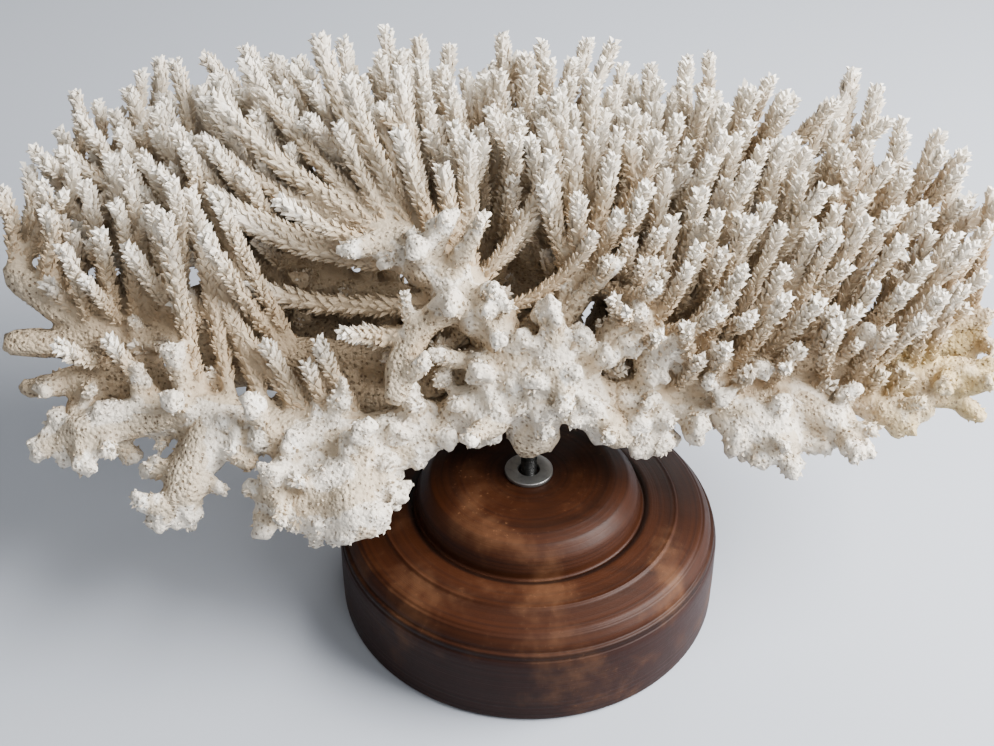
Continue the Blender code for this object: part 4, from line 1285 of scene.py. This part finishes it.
def limb_skin(name, tubes, twigs, voxel):
    """Fuse the tubes, soften the joins, roughen the surface and note what its finish depends on."""
    thing = all_tubes(name, limb_tubes(name, tubes, twigs))
    fuse = thing.modifiers.new("fuse", "REMESH")
    fuse.mode = "VOXEL"
    fuse.voxel_size = voxel
    soften = thing.modifiers.new("soften", "SMOOTH")
    soften.factor = 0.5
    soften.iterations = 3
    thin = thing.modifiers.new("thin", "DECIMATE")
    thin.ratio = SKIN_THINNING
    thing = baked(thing, name)
    tree, fat, kinds, alongs = nearest_parts(tubes, twigs)
    mesh = thing.data
    count = len(mesh.vertices)
    co = vectors(mesh.vertices, "co", count) / MM
    normal = vectors(mesh.vertex_normals, "vector", count)
    tip, deep, bare, crumb, tan, rim_light, shift = (np.zeros(count, np.float32) for _ in range(7))
    for v, p in enumerate(co):
        i = min(tree.find_n(p, 4), key=lambda hit: hit[2] - fat[hit[1]])[1]
        kind, along = kinds[i], alongs[i]
        tip[v] = (0.20, along, along ** 2)[kind]
        bare[v] = BARE[kind]
        crumb[v] = CRUMB[kind]
        # rim light: painted highlight on the limbs and towards the stubs' ends, with less painted shade
        # between corallites there
        rim_light[v] = (0.38, 0.0, 0.25 + 0.35 * along)[kind]
        # painted shade, stronger where the coral round a place is crowded or far below the canopy
        painted_shade = shaded(p + normal[v] * 11, 10, 1, 9) * (0.75, 0.8, 0.5 * (1 - along))[kind]
        deep[v] = max(inner_shade(p), painted_shade)
        tan[v] = tanned(p)
        wide = noise.noise(Vector(p) * 0.09) + 0.8 * noise.noise(Vector(p) * 0.22)
        shift[v] = wide * WIDE_BUMPS[kind] + noise.noise(Vector(p) * 0.45) * FINE_BUMPS[kind]
    co += normal * shift[:, None]
    mesh.vertices.foreach_set("co", (co * MM).ravel())
    mesh.update()
    shade_by_angle(mesh)
    columns = {"tip": tip, "deep": deep, "bare": bare, "crumb": crumb, "tan": tan, "rim_light": rim_light}
    for key, values in columns.items():
        set_values(mesh, key, values)
    return thing


def branchlet_lines(name, twigs, tubes):
    """Lines up the branchlets from where they leave the limb, with values for their corallites."""
    limb = np.concatenate([path for path, radius in tubes])
    limb_radius = np.concatenate([radius for path, radius in tubes])
    points, edges = [], []
    values = {"reach": [], "fine": [], "tip": [], "deep": [], "tan": []}
    for twig in twigs:
        if twig["kind"] == "lump":
            continue
        stub = twig["kind"] == "knob"
        core = core_radius(twig) - (1.0 if stub else 0.0)
        path = twig["path"]
        way = unit(path[-1] - path[-2])
        path = np.vstack([path, path[-1] + way * 1.8, path[-1] + way * 3.2])
        core = np.append(core, (core[-1] * 0.80, core[-1] * 0.35))
        started = False
        for i, p in enumerate(path):
            if (np.linalg.norm(limb - p, axis=1) - limb_radius).min() < -1.5:
                continue
            if started:
                edges.append((len(points) - 1, len(points)))
            started = True
            t = i / (len(path) - 1)
            # painted shade, stronger deep in the colony and towards the branchlet's root
            painted_shade = max(inner_shade(p), shaded(p, 15, 8, 24) * 0.8) * (1 - 0.6 * t)
            points.append(p)
            values["reach"].append((core[i] + 0.2 + 0.5 * t) * MM)
            values["fine"].append(0.66 if stub else 0.78 + 0.20 * t)
            values["tip"].append(t)
            values["deep"].append(painted_shade + (0.0 if stub else 0.30 * (1 - t)))
            values["tan"].append(tanned(p))
    mesh = mesh_from(name + "_lines", [p * MM for p in points], edges=edges)
    for key, column in values.items():
        set_values(mesh, key, column)
    thing = put(name + "_lines", mesh)
    thing.hide_render = True
    return thing


def heights(node):
    """Lowest and highest place of a solid in millimetres."""
    low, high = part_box(node)
    return low[2] / MM, high[2] / MM


class CORAL_OT_limb(bpy.types.Operator):
    """Grow one limb of the coral with its branchlets, stubs and corallites"""

    bl_idname = "coral.limb"
    bl_label = "Grow a limb"

    limb: bpy.props.StringProperty(name="Limb", description="Name of the limb, or foot", default="foot")

    def execute(self, context):
        look = context.scene.coral_settings
        name = self.limb
        tubes, twigs = colony()
        own = [twig for twig in twigs if twig["limb"] == name]
        material = bpy.data.materials.get("coral_rock") or coral_material()
        skin = limb_skin(name + "_skin", tubes[name], own, look.skin_voxel)
        lines = branchlet_lines(name, own, tubes[name])
        shape = corallite_shape()
        dress = skin.modifiers.new("corallites", "NODES")
        dress.node_group = bpy.data.node_groups.get("corallites") or corallite_tree()
        set_inputs(dress, branchlets=lines, corallite=shape, rise=look.corallite_rise,
                   length=look.corallite_length, stub_spacing=look.stub_spacing, seed=7, material=material)
        piece = baked(skin, "foot_coral" if name == "foot" else name + "_coral")
        discard(lines, shape)
        finish_piece(piece, material, "coral_foot" if name == "foot" else name)
        return {"FINISHED"}


class CORAL_OT_base(bpy.types.Operator):
    """Turn the wooden base"""

    bl_idname = "coral.base"
    bl_label = "Turn the base"

    def execute(self, context):
        profile = [(0.0, BORE_FLOOR), (BORE_RADIUS, BORE_FLOOR)] + rounded(BASE_PROFILE, 1.6)
        base = lathe("turned_base_wood", profile, context.scene.stand_settings.lathe_steps, 50)
        finish_piece(base, wood_material(), "turned_base")
        return {"FINISHED"}


class CORAL_OT_rod(bpy.types.Operator):
    """Make the threaded rod"""

    bl_idname = "coral.rod"
    bl_label = "Make the rod"

    def execute(self, context):
        look = context.scene.stand_settings
        low, high = heights("threaded_rod")
        pitch = look.thread_pitch / MM
        profile = [(0.0, high), (ROD_END_RADIUS, high)]
        top = high - 0.6
        while top - pitch > low + 0.6:
            profile += [(ROD_RADIUS, top - 0.10 * pitch), (ROD_RADIUS, top - 0.30 * pitch),
                        (THREAD_ROOT, top - 0.62 * pitch), (THREAD_ROOT, top - 0.78 * pitch)]
            top -= pitch
        profile += [(ROD_END_RADIUS, low), (0.0, low)]
        rod = lathe("rod_steel", profile, 32, 25)
        # the rod is the washer's steel at a tenth of its brightness: painted shade and dark reflections for
        # the rod standing under the coral
        dark = [c * 0.10 for c in look.steel_colour]
        finish_piece(rod, steel_material("rod_steel", dark, 0.25), "threaded_rod")
        return {"FINISHED"}


class CORAL_OT_washer(bpy.types.Operator):
    """Make the washer"""

    bl_idname = "coral.washer"
    bl_label = "Make the washer"

    def execute(self, context):
        low, high = heights("washer")
        section = [(WASHER_HOLE, high), (WASHER_RADIUS, high), (WASHER_RADIUS, low), (WASHER_HOLE, low)]
        section = rounded([section[-1]] + section + [section[0]], 0.35, 3)[1:-1]
        washer = lathe("washer_steel", section, 96, 40, ring=True)
        look = context.scene.stand_settings
        finish_piece(washer, steel_material("washer_steel", look.steel_colour, 0.3), "washer")
        return {"FINISHED"}


class CORAL_OT_stage(bpy.types.Operator):
    """Set up the floor, the lights and the camera"""

    bl_idname = "coral.stage"
    bl_label = "Set the stage"

    def execute(self, context):
        look = context.scene.stage_settings
        half = FLOOR_WIDTH / 2
        corners = [(-half, -half, -FLOOR_DROP), (half, -half, -FLOOR_DROP), (half, half, -FLOOR_DROP),
                   (-half, half, -FLOOR_DROP)]
        floor = put("floor", mesh_from("floor", corners, [(0, 1, 2, 3)]))
        floor.data.materials.append(floor_material())
        for name, place, aim, power, width in LIGHTS:
            lamp = bpy.data.lights.new(name, "AREA")
            lamp.energy = look.key_power * power
            lamp.size = width
            thing = put(name, lamp)
            thing.location = place
            thing.rotation_euler = (Vector(aim) - Vector(place)).to_track_quat("-Z", "Y").to_euler()
        world = bpy.data.worlds.new("studio")
        world.use_nodes = True
        background = world.node_tree.nodes["Background"]
        background.inputs["Color"].default_value = DAYLIGHT
        background.inputs["Strength"].default_value = look.fill_strength
        context.scene.world = world
        camera = bpy.data.cameras.new("camera")
        camera.sensor_width = SENSOR_WIDTH
        camera.lens = FOCAL_PIXELS * SENSOR_WIDTH / PICTURE_WIDTH
        camera.clip_start = 0.05
        thing = put("camera", camera)
        thing.location = CAMERA_PLACE
        thing.rotation_euler = (math.pi / 2 - CAMERA_PITCH, 0.0, 0.0)
        context.scene.camera = thing
        return {"FINISHED"}


class CORAL_PT_panel(bpy.types.Panel):
    """The coral and its stand in the 3D view's sidebar"""

    bl_idname = "CORAL_PT_panel"
    bl_label = "Coral on a stand"
    bl_space_type = "VIEW_3D"
    bl_region_type = "UI"
    bl_category = "Coral"

    def draw(self, context):
        scene = context.scene
        for settings in (scene.coral_settings, scene.stand_settings, scene.stage_settings):
            box = self.layout.box()
            for key in settings.__annotations__:
                box.prop(settings, key)
        for operator in OPERATORS:
            self.layout.operator(operator.bl_idname)


OPERATORS = (CORAL_OT_stage, CORAL_OT_base, CORAL_OT_rod, CORAL_OT_washer, CORAL_OT_limb)
CLASSES = (CoralSettings, StandSettings, StageSettings, *OPERATORS, CORAL_PT_panel)


def register():
    for item in CLASSES:
        bpy.utils.register_class(item)
    bpy.types.Scene.coral_settings = bpy.props.PointerProperty(type=CoralSettings)
    bpy.types.Scene.stand_settings = bpy.props.PointerProperty(type=StandSettings)
    bpy.types.Scene.stage_settings = bpy.props.PointerProperty(type=StageSettings)


def unregister():
    del bpy.types.Scene.coral_settings
    del bpy.types.Scene.stand_settings
    del bpy.types.Scene.stage_settings
    for item in reversed(CLASSES):
        bpy.utils.unregister_class(item)


def main():
    register()
    bpy.ops.coral.stage()
    bpy.ops.coral.base()
    bpy.ops.coral.rod()
    bpy.ops.coral.washer()
    for name in ["foot"] + list(LIMBS):
        bpy.ops.coral.limb(limb=name)


if __name__ == "__main__":
    main()
